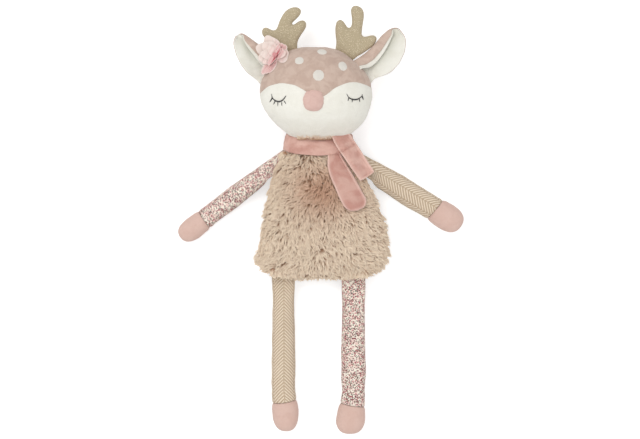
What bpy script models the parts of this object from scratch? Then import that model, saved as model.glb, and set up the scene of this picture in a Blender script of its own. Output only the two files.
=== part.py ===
# Plush deer doll, lying on its back: a two-tone velour head with stuffed antlers, folded ears and
# a cloth flower, a fur pillow body with a velour scarf, and four limp stuffed limbs.
# Axes: +Y towards the head, +X towards the deer's left arm (right in a front view), +Z up out of the
# belly. The origin is on the table under the middle of the back. All lengths are in metres.

import math

import bmesh
import bpy
from mathutils import Matrix, Vector

MM = 0.001

# Cloth, gaps and the flat that the weight presses into whatever lies on the table
fabric = 0.9 * MM
fur_cloth = 4.5 * MM
seam_gap = 0.3 * MM
filling_gap = 1.2 * MM
rest_flat = 0.5 * MM
back_flat = 1.1 * MM

# Torso: a pillow of two fur panels sewn round its edge
torso_length = 131.8 * MM
torso_width = 126.6 * MM
torso_front_depth = 26 * MM
torso_seam_height = 20 * MM
torso_back_depth = torso_seam_height + back_flat
torso_bottom = -64.3 * MM
torso_corner_lift = 7.5 * MM
torso_cut = 7 * MM
# Rows of (share of the length, centre, half width) in shares of half the torso's width
torso_outline_shares = (
    (0.0, 0.037, 0.875),
    (0.08, 0.048, 0.953),
    (0.17, 0.061, 1.0),
    (0.25, 0.080, 0.985),
    (0.35, 0.085, 0.945),
    (0.45, 0.085, 0.908),
    (0.55, 0.050, 0.849),
    (0.65, 0.020, 0.782),
    (0.75, 0.015, 0.712),
    (0.85, 0.007, 0.623),
    (0.925, 0.007, 0.53),
    (0.95, 0.007, 0.465),
    (1.0, 0.007, 0.34),
)
torso_depth_shares = (
    (0.0, 0.0),
    (0.015, 0.30),
    (0.06, 0.56),
    (0.12, 0.74),
    (0.20, 0.88),
    (0.32, 0.98),
    (0.45, 1.0),
    (0.60, 0.94),
    (0.72, 0.85),
    (0.82, 0.72),
    (0.90, 0.56),
    (0.95, 0.36),
    (0.98, 0.17),
    (1.0, 0.05),
)
torso_seam_shares = ((0.0, 0.9), (0.2, 1.0), (0.8, 1.02), (0.9, 1.09), (1.0, 1.27))
torso_filling_span_shares = (0.05, 0.9)

# Head: a wide stuffed ball of a face panel, a crown panel and a back panel
head_length = 87.3 * MM
head_width = 107.4 * MM
head_front_depth = 39 * MM
head_seam_height = 34 * MM
head_back_depth = head_seam_height + back_flat
neck_gap = 0.6 * MM
head_bottom = torso_bottom + torso_length + neck_gap
head_outline_shares = (
    (0.0, 0.009, 0.33),
    (0.048, 0.009, 0.533),
    (0.10, 0.009, 0.638),
    (0.16, 0.005, 0.743),
    (0.21, -0.003, 0.81),
    (0.30, -0.021, 0.909),
    (0.40, -0.037, 0.977),
    (0.50, -0.045, 1.0),
    (0.60, -0.049, 0.979),
    (0.70, -0.045, 0.899),
    (0.78, -0.050, 0.802),
    (0.86, -0.062, 0.66),
    (0.93, -0.070, 0.52),
    (0.96, -0.072, 0.425),
    (0.985, -0.073, 0.28),
    (1.0, -0.073, 0.13),
)
head_depth_shares = (
    (0.0, 0.24),
    (0.03, 0.40),
    (0.07, 0.54),
    (0.12, 0.67),
    (0.20, 0.83),
    (0.30, 0.945),
    (0.42, 1.0),
    (0.55, 1.0),
    (0.66, 0.95),
    (0.76, 0.86),
    (0.85, 0.72),
    (0.92, 0.55),
    (0.965, 0.37),
    (0.99, 0.19),
    (1.0, 0.0),
)
head_seam_shares = ((0.0, 0.75), (0.1, 0.87), (0.25, 0.98), (0.4, 1.0), (1.0, 1.0))
head_filling_span_shares = (0.03, 0.95)
# Where the cream face meets the crown: (place across, place along), in shares of the head
face_edge_shares = (
    (-1.0, 0.50),
    (-0.88, 0.565),
    (-0.65, 0.597),
    (-0.40, 0.57),
    (-0.21, 0.50),
    (0.0, 0.42),
    (0.13, 0.46),
    (0.285, 0.543),
    (0.52, 0.602),
    (0.67, 0.607),
    (0.90, 0.565),
    (1.0, 0.515),
)

# Nose, forehead spots and stitched eyelids, placed in shares of half the head's width and of its length
nose_width = 19 * MM
nose_height = 19.5 * MM
nose_dome = 4.2 * MM
nose_place_shares = (-0.088, 0.403)
spot_dome = 1.0 * MM
# Rows of (name, across, along, width, height), the sizes in shares of the largest spot
spot_size = 10.5 * MM
spot_shares = (
    ("spot_middle", 0.0, 0.672, 1.0, 1.0),
    ("spot_left", -0.332, 0.833, 0.78, 0.68),
    ("spot_right", 0.42, 0.774, 0.74, 0.86),
    ("spot_top", 0.061, 0.93, 0.86, 0.50),
)
eyelid_width = 13 * MM
eyelid_drop = 3.9 * MM
eyelid_thread = 0.55 * MM
lash_thread = 0.4 * MM
lash_length = 3.3 * MM
eyelid_lift = 0.45 * MM
eyelid_steps = 8
# Rows of (name, across, along, which side the long corner lash is on)
eyelid_shares = (("eyelid_left", -0.682, 0.448, -1.0), ("eyelid_right", 0.627, 0.452, 1.0))
# Rows of (place along the lid, lean of the lash in radians)
lash_shares = ((0.02, 0.85), (0.2, 0.45), (0.42, 0.08), (0.63, -0.12), (0.84, -0.4))

# Antlers: flat stuffed shapes of two panels, drawn in a frame with its base edge on the X axis
antler_cloth = 0.7 * MM
antler_height = 43 * MM
antler_half_depth = 4.6 * MM
antler_round = 2.9 * MM
antler_seat_gap = 0.7 * MM
antler_base_points = 4
antler_outline_points = 48
# Outlines in shares of the antler's height, going round from the left end of the base edge
left_antler_shares = (
    (-0.15, -0.05),
    (-0.22, 0.14),
    (-0.36, 0.21),
    (-0.475, 0.28),
    (-0.545, 0.38),
    (-0.535, 0.48),
    (-0.45, 0.525),
    (-0.345, 0.465),
    (-0.245, 0.445),
    (-0.20, 0.52),
    (-0.15, 0.64),
    (-0.08, 0.78),
    (0.04, 0.90),
    (0.19, 0.945),
    (0.31, 0.90),
    (0.325, 0.81),
    (0.26, 0.72),
    (0.15, 0.63),
    (0.09, 0.555),
    (0.17, 0.56),
    (0.26, 0.62),
    (0.36, 0.655),
    (0.435, 0.58),
    (0.41, 0.475),
    (0.32, 0.35),
    (0.22, 0.18),
    (0.165, 0.03),
)
right_antler_shares = (
    (-0.20, 0.0),
    (-0.32, 0.14),
    (-0.46, 0.36),
    (-0.505, 0.50),
    (-0.445, 0.58),
    (-0.33, 0.55),
    (-0.245, 0.495),
    (-0.185, 0.51),
    (-0.18, 0.59),
    (-0.27, 0.74),
    (-0.375, 0.88),
    (-0.365, 0.975),
    (-0.26, 1.03),
    (-0.13, 1.0),
    (-0.04, 0.87),
    (0.05, 0.64),
    (0.125, 0.495),
    (0.20, 0.52),
    (0.285, 0.605),
    (0.385, 0.65),
    (0.455, 0.565),
    (0.43, 0.39),
    (0.335, 0.19),
    (0.225, 0.0),
)
antler_lean_left = math.radians(2)
antler_lean_right = math.radians(-30)
antler_base_shares = (0.95, 0.925)

# Ears: a velour back and a cream lining, folded forward along the upper side
ear_cloth = 0.9 * MM
ear_layer_gap = 0.7 * MM
ear_seat_gap = 0.8 * MM
right_ear_length = 50 * MM
right_ear_width = 29 * MM
left_ear_length = 44 * MM
left_ear_width = 24 * MM
ear_fold_radius = 3.0 * MM
right_ear_flap = 8.4 * MM
left_ear_flap = 5 * MM
ear_bowl = 3.0 * MM
ear_flat_share = 0.56
ear_bend_share = 0.8
# Rows of (along the ear, lower edge, upper edge) in shares of its length and width
right_ear_shares = (
    (0.0, 0.39, -0.48),
    (0.11, 0.55, -0.40),
    (0.27, 0.70, -0.30),
    (0.50, 0.745, -0.235),
    (0.72, 0.67, -0.215),
    (0.88, 0.51, -0.15),
    (0.96, 0.36, -0.06),
    (1.0, 0.17, 0.02),
)
left_ear_shares = (
    (0.0, 0.52, -0.48),
    (0.25, 0.625, -0.46),
    (0.46, 0.605, -0.43),
    (0.69, 0.50, -0.34),
    (0.89, 0.325, -0.25),
    (0.97, 0.19, -0.18),
    (1.0, 0.08, -0.08),
)
ear_fold_shares = ((0.0, 0.0), (0.08, 0.1), (0.36, 0.97), (0.5, 1.0), (0.68, 0.97), (0.93, 0.1), (1.0, 0.0))
ear_base_shares = (0.735, 0.735)
left_ear_turn = math.radians(130)
right_ear_turn = math.radians(53.8)

# Flower: three ruffled petal rings and a gathered middle, sewn to the head beside the left ear
petal_cloth = 0.8 * MM
flower_radius = 15.5 * MM
flower_cup = 8.5 * MM
flower_ruffle = 1.7 * MM
flower_layer_step = 1.3 * MM
flower_lobes = 5
flower_bud = 3.4 * MM
flower_ring_steps = 30
flower_place_shares = (-0.80, 0.885)
flower_height = 46.5 * MM
flower_tilt = (-0.24, 0.2, 1.0)
# Rows of (name, radius, cup, ruffle) in shares of the outer ring's
flower_ring_shares = (
    ("flower_outer_petals", 1.0, 1.0, 1.0),
    ("flower_middle_petals", 0.74, 0.95, 0.8),
    ("flower_inner_petals", 0.48, 0.85, 0.5),
)

# Arms and legs: flat-ended cloth sleeves sewn into the torso's edge, each with a velour mitt
sleeve_root = 0.8 * MM
sleeve_closed = 5 * MM
limb_seat_gap = 0.35 * MM
limb_sides = 12
arm_root_shares = (0.72, 0.925)
leg_root_across = 33 * MM
left_arm_width = 19.2 * MM
right_arm_width = 23.2 * MM
left_arm_length = 111 * MM
right_arm_length = 107.8 * MM
left_arm_sleeve = 84.5 * MM
right_arm_sleeve = 80 * MM
left_arm_turn = math.radians(217.4)
right_arm_turn = math.radians(-31.6)
arm_thickness = 17 * MM
left_leg_width = 21.2 * MM
right_leg_width = 21.8 * MM
left_leg_length = 140.4 * MM
right_leg_length = 142.3 * MM
left_leg_sleeve = 113.5 * MM
right_leg_sleeve = 117 * MM
leg_turn = math.radians(-90)
leg_thickness = 19 * MM
arm_root_turn = 24 * MM
# Half thickness, height of the middle and half width down the limb, in shares
limb_thick_shares = (
    (0.0, 0.0),
    (0.04, 0.13),
    (0.10, 0.42),
    (0.20, 0.78),
    (0.32, 0.97),
    (0.45, 1.0),
    (0.78, 1.0),
    (0.86, 1.06),
    (0.93, 0.88),
    (0.98, 0.5),
    (1.0, 0.18),
)
limb_height_shares = ((0.0, 1.0), (0.08, 0.86), (0.18, 0.5), (0.3, 0.17), (0.42, 0.0), (1.0, 0.0))
arm_wide_shares = (
    (0.0, 0.70),
    (0.12, 0.80),
    (0.25, 0.95),
    (0.42, 1.02),
    (0.60, 0.99),
    (0.74, 1.0),
    (0.84, 1.10),
    (0.93, 0.98),
    (0.98, 0.62),
    (1.0, 0.25),
)
leg_wide_shares = (
    (0.0, 1.03),
    (0.14, 0.94),
    (0.24, 0.94),
    (0.45, 1.03),
    (0.68, 1.0),
    (0.80, 1.04),
    (0.88, 1.16),
    (0.945, 1.02),
    (0.985, 0.58),
    (1.0, 0.22),
)
toe_shift = 3.4 * MM
toe_shift_shares = ((0.0, 0.0), (0.74, 0.0), (0.85, 0.6), (1.0, 1.0))

# Scarf: one velour strip wound round the neck, its two tails crossing on the right
scarf_thickness = 3.2 * MM
scarf_band_width = 13.2 * MM
scarf_loop_half_width = 31.4 * MM
scarf_loop_front = 37 * MM
scarf_loop_back = 4.0 * MM
scarf_flare = 1.5 * MM
scarf_loop_steps = 32
scarf_clearance = 0.5 * MM
scarf_over_arm = 27 * MM
scarf_fall = 8 * MM
scarf_slope = 1.35
chin_gap = 0.7 * MM
# Rows of (turn round the neck, middle of the band along the torso)
scarf_loop_shares = (
    (0.0, 0.995),
    (0.125, 0.965),
    (0.25, 0.948),
    (0.375, 0.965),
    (0.5, 0.995),
    (0.75, 1.005),
    (1.0, 0.995),
)
scarf_tail_columns = 5
# Rows of (across, along, half width, lean of the row), the first three in shares of the torso
lower_tail_shares = (
    (0.245, 0.884, 0.105, 0.0),
    (0.275, 0.825, 0.145, 0.04),
    (0.33, 0.76, 0.165, 0.10),
    (0.40, 0.69, 0.17, 0.2),
    (0.47, 0.62, 0.175, 0.27),
    (0.535, 0.56, 0.17, 0.3),
    (0.565, 0.527, 0.145, 0.3),
    (0.58, 0.508, 0.085, 0.3),
)
upper_tail_shares = (
    (0.475, 0.944, 0.134, 0.42),
    (0.52, 0.912, 0.132, 0.42),
    (0.567, 0.879, 0.129, 0.42),
    (0.615, 0.848, 0.125, 0.42),
    (0.66, 0.816, 0.119, 0.42),
    (0.705, 0.782, 0.112, 0.42),
    (0.735, 0.76, 0.10, 0.42),
    (0.746, 0.751, 0.08, 0.42),
)
wrap_shares = (
    (0.325, 1.035, 0.115, 0.42),
    (0.37, 1.002, 0.124, 0.42),
    (0.42, 0.975, 0.13, 0.42),
    (0.471, 0.9468, 0.134, 0.42),
)


def curve_value(rows, at, column=1):
    """The value of one column of a table at a place, on a smooth curve through its rows."""
    keys = [row[0] for row in rows]
    values = [row[column] for row in rows]
    at = min(max(at, keys[0]), keys[-1])
    i = max(k for k in range(len(keys) - 1) if keys[k] <= at)

    def slope(k):
        if k == 0 or k == len(keys) - 1:
            a, b = (0, 1) if k == 0 else (k - 1, k)
        else:
            left = (values[k] - values[k - 1]) / (keys[k] - keys[k - 1])
            right = (values[k + 1] - values[k]) / (keys[k + 1] - keys[k])
            return 0.0 if left * right <= 0 else 2 * left * right / (left + right)
        return (values[b] - values[a]) / (keys[b] - keys[a])

    span = keys[i + 1] - keys[i]
    t = (at - keys[i]) / span
    rise = values[i + 1] - values[i]
    m0, m1 = slope(i) * span, slope(i + 1) * span
    return (
        values[i]
        + m0 * t
        + (3 * rise - 2 * m0 - m1) * t * t
        + (m0 + m1 - 2 * rise) * t * t * t
    )


class Pillow:
    """A stuffed shape sewn from a front and a back panel: where each point of its surface lies."""

    def __init__(self, bottom, length, width, front, back, outline, depth, seam, seam_height, lift):
        self.bottom, self.length, self.half = bottom, length, width / 2
        self.front, self.back = front, back
        self.outline, self.depth = outline, depth
        self.seam, self.seam_height = seam, seam_height
        self.lift = lift

    def edge(self, side, along):
        """A point of the sewn edge on one side, at a share of the length."""
        middle = curve_value(self.outline, along) * self.half
        wide = curve_value(self.outline, along, 2) * self.half
        height = curve_value(self.seam, along) * self.seam_height
        return Vector((middle + side * wide, self.bottom + self.length * along, height))

    def point(self, across, along, side, inset, ends):
        """A surface point. across is -1 to 1, side is 1 in front and -1 behind, and ends says
        which ends the inset also draws in: bottom and top."""
        middle = curve_value(self.outline, along) * self.half
        wide = curve_value(self.outline, along, 2) * self.half - inset
        low, high = self.bottom + inset * ends[0], self.bottom + self.length - inset * ends[1]
        deep = curve_value(self.depth, along) * (self.front if side > 0 else self.back)
        deep = max(deep - inset, deep / 2)
        height = curve_value(self.seam, along) * self.seam_height
        up = self.lift * across**4 * (1 - along) ** 8
        z = height + side * (deep * math.sqrt(max(0.0, 1 - across * across)) + seam_gap / 2)
        return Vector((middle + across * wide, low + (high - low) * along + up, max(z, inset)))

    def clear_of(self, at):
        """How far a place seen from above is outside the sewn edge. It is negative inside."""
        rim = [self.edge(side, share / 80) for side in (-1, 1) for share in range(81)]
        near = min((at.x - p.x) ** 2 + (at.y - p.y) ** 2 for p in rim) ** 0.5
        share = (at.y - self.bottom) / self.length
        if not 0 <= share <= 1:
            return near
        return near if not self.edge(-1, share).x < at.x < self.edge(1, share).x else -near

    def front_at(self, x, y, lift, upright=False):
        """The point of the front at a place seen from above, moved out of the cloth by a lift.
        upright keeps it over that place."""

        def surface(px, py):
            along = min(max((py - self.bottom) / self.length, 0.0), 1.0)
            middle = curve_value(self.outline, along) * self.half
            wide = curve_value(self.outline, along, 2) * self.half
            across = min(max((px - middle) / wide, -1.0), 1.0)
            return self.point(across, along, 1, 0.0, (0, 0)).z

        step = self.half / 100
        slope_x = (surface(x + step, y) - surface(x - step, y)) / (2 * step)
        slope_y = (surface(x, y + step) - surface(x, y - step)) / (2 * step)
        normal = Vector((-slope_x, -slope_y, 1.0)).normalized()
        if upright:
            return Vector((x, y, surface(x, y) + lift / max(normal.z, 0.35)))
        return Vector((x, y, surface(x, y))) + normal * lift


torso = Pillow(
    torso_bottom,
    torso_length,
    torso_width,
    torso_front_depth,
    torso_back_depth,
    torso_outline_shares,
    torso_depth_shares,
    torso_seam_shares,
    torso_seam_height,
    torso_corner_lift,
)
head = Pillow(
    head_bottom,
    head_length,
    head_width,
    head_front_depth,
    head_back_depth,
    head_outline_shares,
    head_depth_shares,
    head_seam_shares,
    head_seam_height,
    0.0,
)


def clear_scene():
    for old in list(bpy.data.objects):
        bpy.data.objects.remove(old, do_unlink=True)


def make_material(name, colour, roughness):
    """A cloth material. The colour is given as it looks on a screen, each channel 0 to 1."""
    made = bpy.data.materials.new(name)
    made.use_nodes = True
    shader = made.node_tree.nodes["Principled BSDF"]
    linear = [channel**2.2 for channel in colour]
    shader.inputs["Base Color"].default_value = (*linear, 1.0)
    shader.inputs["Roughness"].default_value = roughness
    shader.inputs["Metallic"].default_value = 0.0
    return made


def add_object(name, bm, material):
    """Closes a bmesh into an object of one node, its faces pointing out."""
    bmesh.ops.recalc_face_normals(bm, faces=bm.faces[:])
    if bm.calc_volume(signed=True) < 0:
        bmesh.ops.reverse_faces(bm, faces=bm.faces[:])
    mesh = bpy.data.meshes.new(name)
    bm.to_mesh(mesh)
    bm.free()
    mesh.shade_smooth()
    made = bpy.data.objects.new(name, mesh)
    made.data.materials.append(material)
    bpy.context.scene.collection.objects.link(made)
    return made


def add_grid(bm, columns, rows, place, closed=False):
    """Rows of vertices at place(column share, row share), with faces between them."""
    count = columns if closed else columns + 1
    lines = [
        [bm.verts.new(place(c / columns, r / rows)) for c in range(count)]
        for r in range(rows + 1)
    ]
    for low, high in zip(lines, lines[1:]):
        join_lines(bm, low, high, closed)
    return lines


def join_lines(bm, first, second, closed):
    for i in range(len(first) if closed else len(first) - 1):
        j = (i + 1) % len(first)
        bm.faces.new((first[i], first[j], second[j], second[i]))


def rim_of(lines):
    """The vertices round a grid, in order."""
    right = [line[-1] for line in lines[1:]]
    top = list(reversed(lines[-1][:-1]))
    left = [line[0] for line in reversed(lines[1:-1])]
    return lines[0] + right + top + left


def make_panel(name, columns, rows, place, thickness, material):
    """One sewn panel: an outer and an inner surface, joined round their rim.
    place takes a column share, a row share and a depth under the outer surface."""
    bm = bmesh.new()
    outer = add_grid(bm, columns, rows, lambda c, r: place(c, r, 0.0))
    inner = add_grid(bm, columns, rows, lambda c, r: place(c, r, thickness))
    join_lines(bm, rim_of(outer), rim_of(inner), True)
    return add_object(name, bm, material)


def across_of(column):
    """A place across a pillow, closer together towards its edges."""
    return -math.cos(math.pi * column)


def eased(row):
    """A place along a pillow, closer together towards both ends."""
    return (1 - math.cos(math.pi * row)) / 2


def make_pillow_panel(name, shape, side, columns, rows, span, ends, thickness, material):
    """A whole front or back panel between two rows of a pillow's length."""

    def place(column, row, depth):
        along = span[0] + (span[1] - span[0]) * eased(row)
        return shape.point(across_of(column), along, side, depth, ends)

    return make_panel(name, columns, rows, place, thickness, material)


def make_filling(name, shape, columns, rows, span, inset, material):
    """The stuffing inside a pillow: front and back surfaces that meet at the seam."""
    bm = bmesh.new()

    def ring(along):
        front = [shape.point(across_of(c / columns), along, 1, inset, (1, 1)) for c in range(columns)]
        behind = [shape.point(-across_of(c / columns), along, -1, inset, (1, 1)) for c in range(columns)]
        return [bm.verts.new(p) for p in front + behind]

    steps = [span[0] + (span[1] - span[0]) * eased(r / rows) for r in range(rows + 1)]
    steps = [max(step, inset / shape.length) for step in steps]
    rings = [ring(step) for step in steps]
    for low, high in zip(rings, rings[1:]):
        join_lines(bm, low, high, True)
    bm.faces.new(rings[0])
    bm.faces.new(rings[-1])
    return add_object(name, bm, material)


def make_torso(fur, stuffing):
    make_pillow_panel("torso_fur_front", torso, 1, 14, 13, (0, 1), (1, 0), fur_cloth, fur)
    make_pillow_panel("torso_fur_back", torso, -1, 14, 13, (0, 1), (1, 0), fur_cloth, fur)
    inset = fur_cloth + filling_gap
    make_filling("torso_filling", torso, 8, 9, torso_filling_span_shares, inset, stuffing)


def make_head(cream, mauve, stuffing):
    """The face and crown share one curved front; the seam between them is the face's heart shape."""
    half_gap = seam_gap / 2 / head_length

    def face(column, row, depth):
        across = across_of(column)
        top = curve_value(face_edge_shares, across) - half_gap
        return head.point(across, top * (1 - math.cos(math.pi / 2 * row)), 1, depth, (0, 1))

    def crown(column, row, depth):
        across = across_of(column)
        low = curve_value(face_edge_shares, across) + half_gap
        return head.point(across, low + (1 - low) * math.sin(math.pi / 2 * row), 1, depth, (0, 1))

    make_panel("face_panel", 16, 7, face, fabric, cream)
    make_panel("crown_panel", 16, 6, crown, fabric, mauve)
    make_pillow_panel("head_back_panel", head, -1, 14, 10, (0, 1), (0, 1), fabric, mauve)
    inset = fabric + filling_gap
    make_filling("head_filling", head, 9, 10, head_filling_span_shares, inset, stuffing)


def head_place(across, along):
    """A place on the head's front, from shares of half its width and of its length."""
    return across * head_width / 2, head_bottom + along * head_length


def make_pad(name, place, width, height, dome, material, segments=12, rings=6):
    """A low round pad lying on the head's front: a sphere pressed flat onto the cloth."""
    bm = bmesh.new()
    bmesh.ops.create_uvsphere(bm, u_segments=segments, v_segments=rings, radius=1.0)
    x, y = head_place(*place)
    for vert in bm.verts:
        ball = vert.co.copy()
        lift = seam_gap + dome * max(ball.z, 0.0)
        low = seam_gap * (1 + min(ball.z, 0.0))
        at = head.front_at(x + ball.x * width / 2, y + ball.y * height / 2, seam_gap + lift)
        if ball.z < 0:
            at = head.front_at(x + ball.x * width / 2, y + ball.y * height / 2, seam_gap + low)
        vert.co = at
    return add_object(name, bm, material)


def make_nose_and_spots(pink, white):
    make_pad("nose", nose_place_shares, nose_width, nose_height, nose_dome, pink)
    for name, across, along, width, height in spot_shares:
        size = (spot_size * width, spot_size * height)
        make_pad(name, (across, along), *size, spot_dome, white, segments=10, rings=4)


def add_tube(bm, points, radius, sides):
    """A thin closed tube along points, square across at both ends."""
    rings = []
    for i, point in enumerate(points):
        ahead = points[min(i + 1, len(points) - 1)] - points[max(i - 1, 0)]
        turn = ahead.to_track_quat("Z", "Y").to_matrix()
        ring = []
        for s in range(sides):
            angle = 2 * math.pi * s / sides
            spoke = Vector((math.cos(angle), math.sin(angle), 0.0)) * radius
            ring.append(bm.verts.new(point + turn @ spoke))
        rings.append(ring)
    for low, high in zip(rings, rings[1:]):
        join_lines(bm, low, high, True)
    bm.faces.new(rings[0])
    bm.faces.new(rings[-1])


def make_eyelid(name, across, along, corner, thread):
    """A closed eye: one stitched arc with lashes, lying on the face."""
    x, y = head_place(across, along)

    def lid(share):
        reach = 2 * share - 1
        px = x + corner * reach * eyelid_width / 2
        return px, y - eyelid_drop * (1 - reach * reach)

    def stitched(points, radius):
        return [head.front_at(px, py, eyelid_lift + radius) for px, py in points]

    arc = bmesh.new()
    path = [lid(s / eyelid_steps) for s in range(eyelid_steps + 1)]
    add_tube(arc, stitched(path, eyelid_thread), eyelid_thread, 6)
    made = add_object(name, arc, thread)
    lashes = bmesh.new()
    for share, lean in lash_shares:
        px, py = lid(share)
        dx, dy = -math.sin(lean) * corner, -math.cos(lean)
        tip = (px + dx * lash_length, py + dy * lash_length)
        middle = (px + dx * lash_length / 2, py + dy * lash_length / 2)
        add_tube(lashes, stitched([(px, py), middle, tip], lash_thread), lash_thread, 5)
    helper = add_object(name + "_lashes", lashes, thread)
    helper.hide_render = True
    helper.display_type = "WIRE"
    union = made.modifiers.new("lashes", "BOOLEAN")
    union.operation = "UNION"
    union.object = helper


def smooth_outline(points, count):
    """Points spaced evenly on a closed curve through an outline, with its base edge kept straight."""
    ends = len(points)

    def corner(i):
        return Vector(points[i % ends])

    dense = []
    for i in range(ends - 1):
        before = corner(i - 1) if i else corner(0) * 2 - corner(1)
        after = corner(i + 2) if i + 2 < ends else corner(ends - 1) * 2 - corner(ends - 2)
        for step in range(8):
            t = step / 8
            a, b, c, d = before, corner(i), corner(i + 1), after
            dense.append(
                0.5
                * (2 * b + (c - a) * t + (2 * a - 5 * b + 4 * c - d) * t * t + (3 * b - a - 3 * c + d) * t**3)
            )
    dense.append(corner(ends - 1))
    lengths = [0.0]
    for p, q in zip(dense, dense[1:]):
        lengths.append(lengths[-1] + (q - p).length)
    spaced = []
    for k in range(count):
        want = lengths[-1] * k / (count - 1)
        i = max(n for n in range(len(dense) - 1) if lengths[n] <= want + 1e-12)
        part = (want - lengths[i]) / max(lengths[i + 1] - lengths[i], 1e-12)
        spaced.append(dense[i].lerp(dense[i + 1], min(part, 1.0)))
    return spaced


def antler_half(bm, outline, inset, side):
    """One face of a stuffed antler: rings drawn in from the outline as they rise, and a flat middle."""
    flat = bmesh.new()
    face = flat.faces.new([flat.verts.new((*p, 0.0)) for p in outline])
    if face.normal.z < 0 or face.calc_area() == 0:
        flat.normal_update()
    flat.normal_update()
    if face.normal.z < 0:
        face.normal_flip()
    rings = [[v.co.copy() for v in face.verts]]
    turns = (0.0, math.radians(42), math.radians(90))
    start = inset
    if inset:
        bmesh.ops.inset_region(flat, faces=[face], thickness=inset, use_even_offset=True, use_boundary=True)
        rings = [[v.co.copy() for v in face.verts]]
    for low, high in zip(turns, turns[1:]):
        step = (math.cos(low) - math.cos(high)) * (antler_round - start)
        bmesh.ops.inset_region(flat, faces=[face], thickness=step, use_even_offset=True, use_boundary=True)
        rings.append([v.co.copy() for v in face.verts])
    flat.free()
    lines = []
    for turn, ring in zip(turns, rings):
        rise = math.sin(turn) * (antler_half_depth - start) + seam_gap / 2
        lines.append([bm.verts.new((p.x, p.y, side * rise)) for p in ring])
    for low, high in zip(lines, lines[1:]):
        join_lines(bm, low, high, True)
    bm.faces.new(lines[-1])
    return lines[0]


def antler_pose(side, along, lean):
    """Where an antler's own frame sits: its base edge against the head's seam."""
    base = head.edge(side, along)
    near = head.edge(side, along - 0.01)
    outward = Vector((base.y - near.y, near.x - base.x, 0.0)).normalized() * side
    place = base + Vector((outward.x, outward.y, 0.0)) * antler_seat_gap
    return Matrix.Translation(place) @ Matrix.Rotation(lean, 4, "Z")


def make_antler(prefix, pose, shares, cloth, stuffing):
    """An antler's two cloths and its filling, its base cut to the curve of the head."""
    outline = [p * antler_height for p in smooth_outline(shares, antler_outline_points)]
    steps = antler_base_points + 1
    outline += [outline[-1].lerp(outline[0], step / steps) for step in range(1, steps)]
    low = antler_height * 0.12
    for point in (p for p in outline if p.y < low):
        x, foot = point.x, -low
        seated = leaves_head(
            lambda y, x=x: pose @ Vector((x, y, 0.0)), foot, low * 2, antler_seat_gap
        )
        point.y = max(point.y, seated)
    for name, side in ((prefix + "_front", 1), (prefix + "_back", -1)):
        bm = bmesh.new()
        outer = antler_half(bm, outline, 0.0, side)
        inner = antler_half(bm, outline, antler_cloth, side)
        join_lines(bm, outer, inner, True)
        bm.transform(pose)
        add_object(name, bm, cloth)
    bm = bmesh.new()
    inset = antler_cloth + filling_gap
    upper = antler_half(bm, outline, inset, 1)
    lower = antler_half(bm, outline, inset, -1)
    join_lines(bm, upper, lower, True)
    bm.transform(pose)
    add_object(prefix + "_filling", bm, stuffing)


def ear_section(along, across, shares, length, width, flap):
    """A point of the ear's middle surface in its own frame: along +Y, lower edge at +X, front at +Z.
    Across it is flat, then bends over an arc, then lies flat again as the folded flap."""
    low = curve_value(shares, along, 1) * width
    high = curve_value(shares, along, 2) * width
    narrow = min(1.0, (low - high) / width)
    turn = math.pi * min(max(curve_value(ear_fold_shares, along), 0.01), 1.0)
    bend = math.pi * ear_fold_radius * min(1.0, 1.5 * narrow) / turn
    flap *= narrow
    reach = bend if turn > math.pi / 2 else bend * math.sin(turn) + flap * math.cos(turn)
    start = high + reach
    if across < ear_flat_share:
        x, z = low + (start - low) * across / ear_flat_share, 0.0
    else:
        share = min((across - ear_flat_share) / (ear_bend_share - ear_flat_share), 1.0)
        x = start - bend * math.sin(turn * share)
        z = bend - bend * math.cos(turn * share)
        over = max(across - ear_bend_share, 0.0) / (1 - ear_bend_share)
        x -= flap * over * math.cos(turn)
        z += flap * over * math.sin(turn)
    bowl = ear_bowl * min(1.0, max(0.0, along) * 4) * max(0.0, 1 - across / ear_flat_share) ** 2
    return Vector((x, along * length, z + bowl))


def ear_pose(side, along, turn):
    """Where an ear's own frame sits: its base on the head's seam, turned about Z."""
    base = head.edge(side, along)
    flip = Matrix.Scale(-1.0, 4, (1, 0, 0)) if side < 0 else Matrix.Identity(4)
    return Matrix.Translation(base) @ Matrix.Rotation(turn - math.pi / 2, 4, "Z") @ flip


def leaves_head(path, inside, outside, gap):
    """Where a path that starts over the head is first this clear of its sewn edge."""
    for _ in range(20):
        middle = (inside + outside) / 2
        if head.clear_of(path(middle)) < gap:
            inside = middle
        else:
            outside = middle
    return outside


def make_ear(prefix, side, along, turn, outline, cream, mauve):
    """A folded ear of two cloths: the back outside, the cream lining inside."""
    pose = ear_pose(side, along, turn)
    for name, layer, material in ((prefix + "_back", -1, mauve), (prefix + "_lining", 1, cream)):
        bm = bmesh.new()
        columns, rows = 10, 8
        starts = [
            leaves_head(
                lambda share, c=c: pose @ ear_section(share, c / columns, *outline),
                -0.4,
                0.5,
                ear_seat_gap,
            )
            for c in range(columns + 1)
        ]

        def place(column, row, starts=starts, columns=columns):
            start = starts[round(column * columns)]
            share = start + (1 - start) * math.sin(math.pi / 2 * row)
            return pose @ ear_section(share, column, *outline)

        add_grid(bm, columns, rows, place)
        bm.normal_update()
        middle = bm.faces[:][len(bm.faces) // 3]
        facing = 1 if middle.normal.z > 0 else -1
        sheet = add_sheet(name, bm, material)
        add_offset(sheet, layer * facing * ear_layer_gap / 2)
        thick = sheet.modifiers.new("cloth", "SOLIDIFY")
        thick.thickness = ear_cloth
        thick.offset = layer * facing


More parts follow.
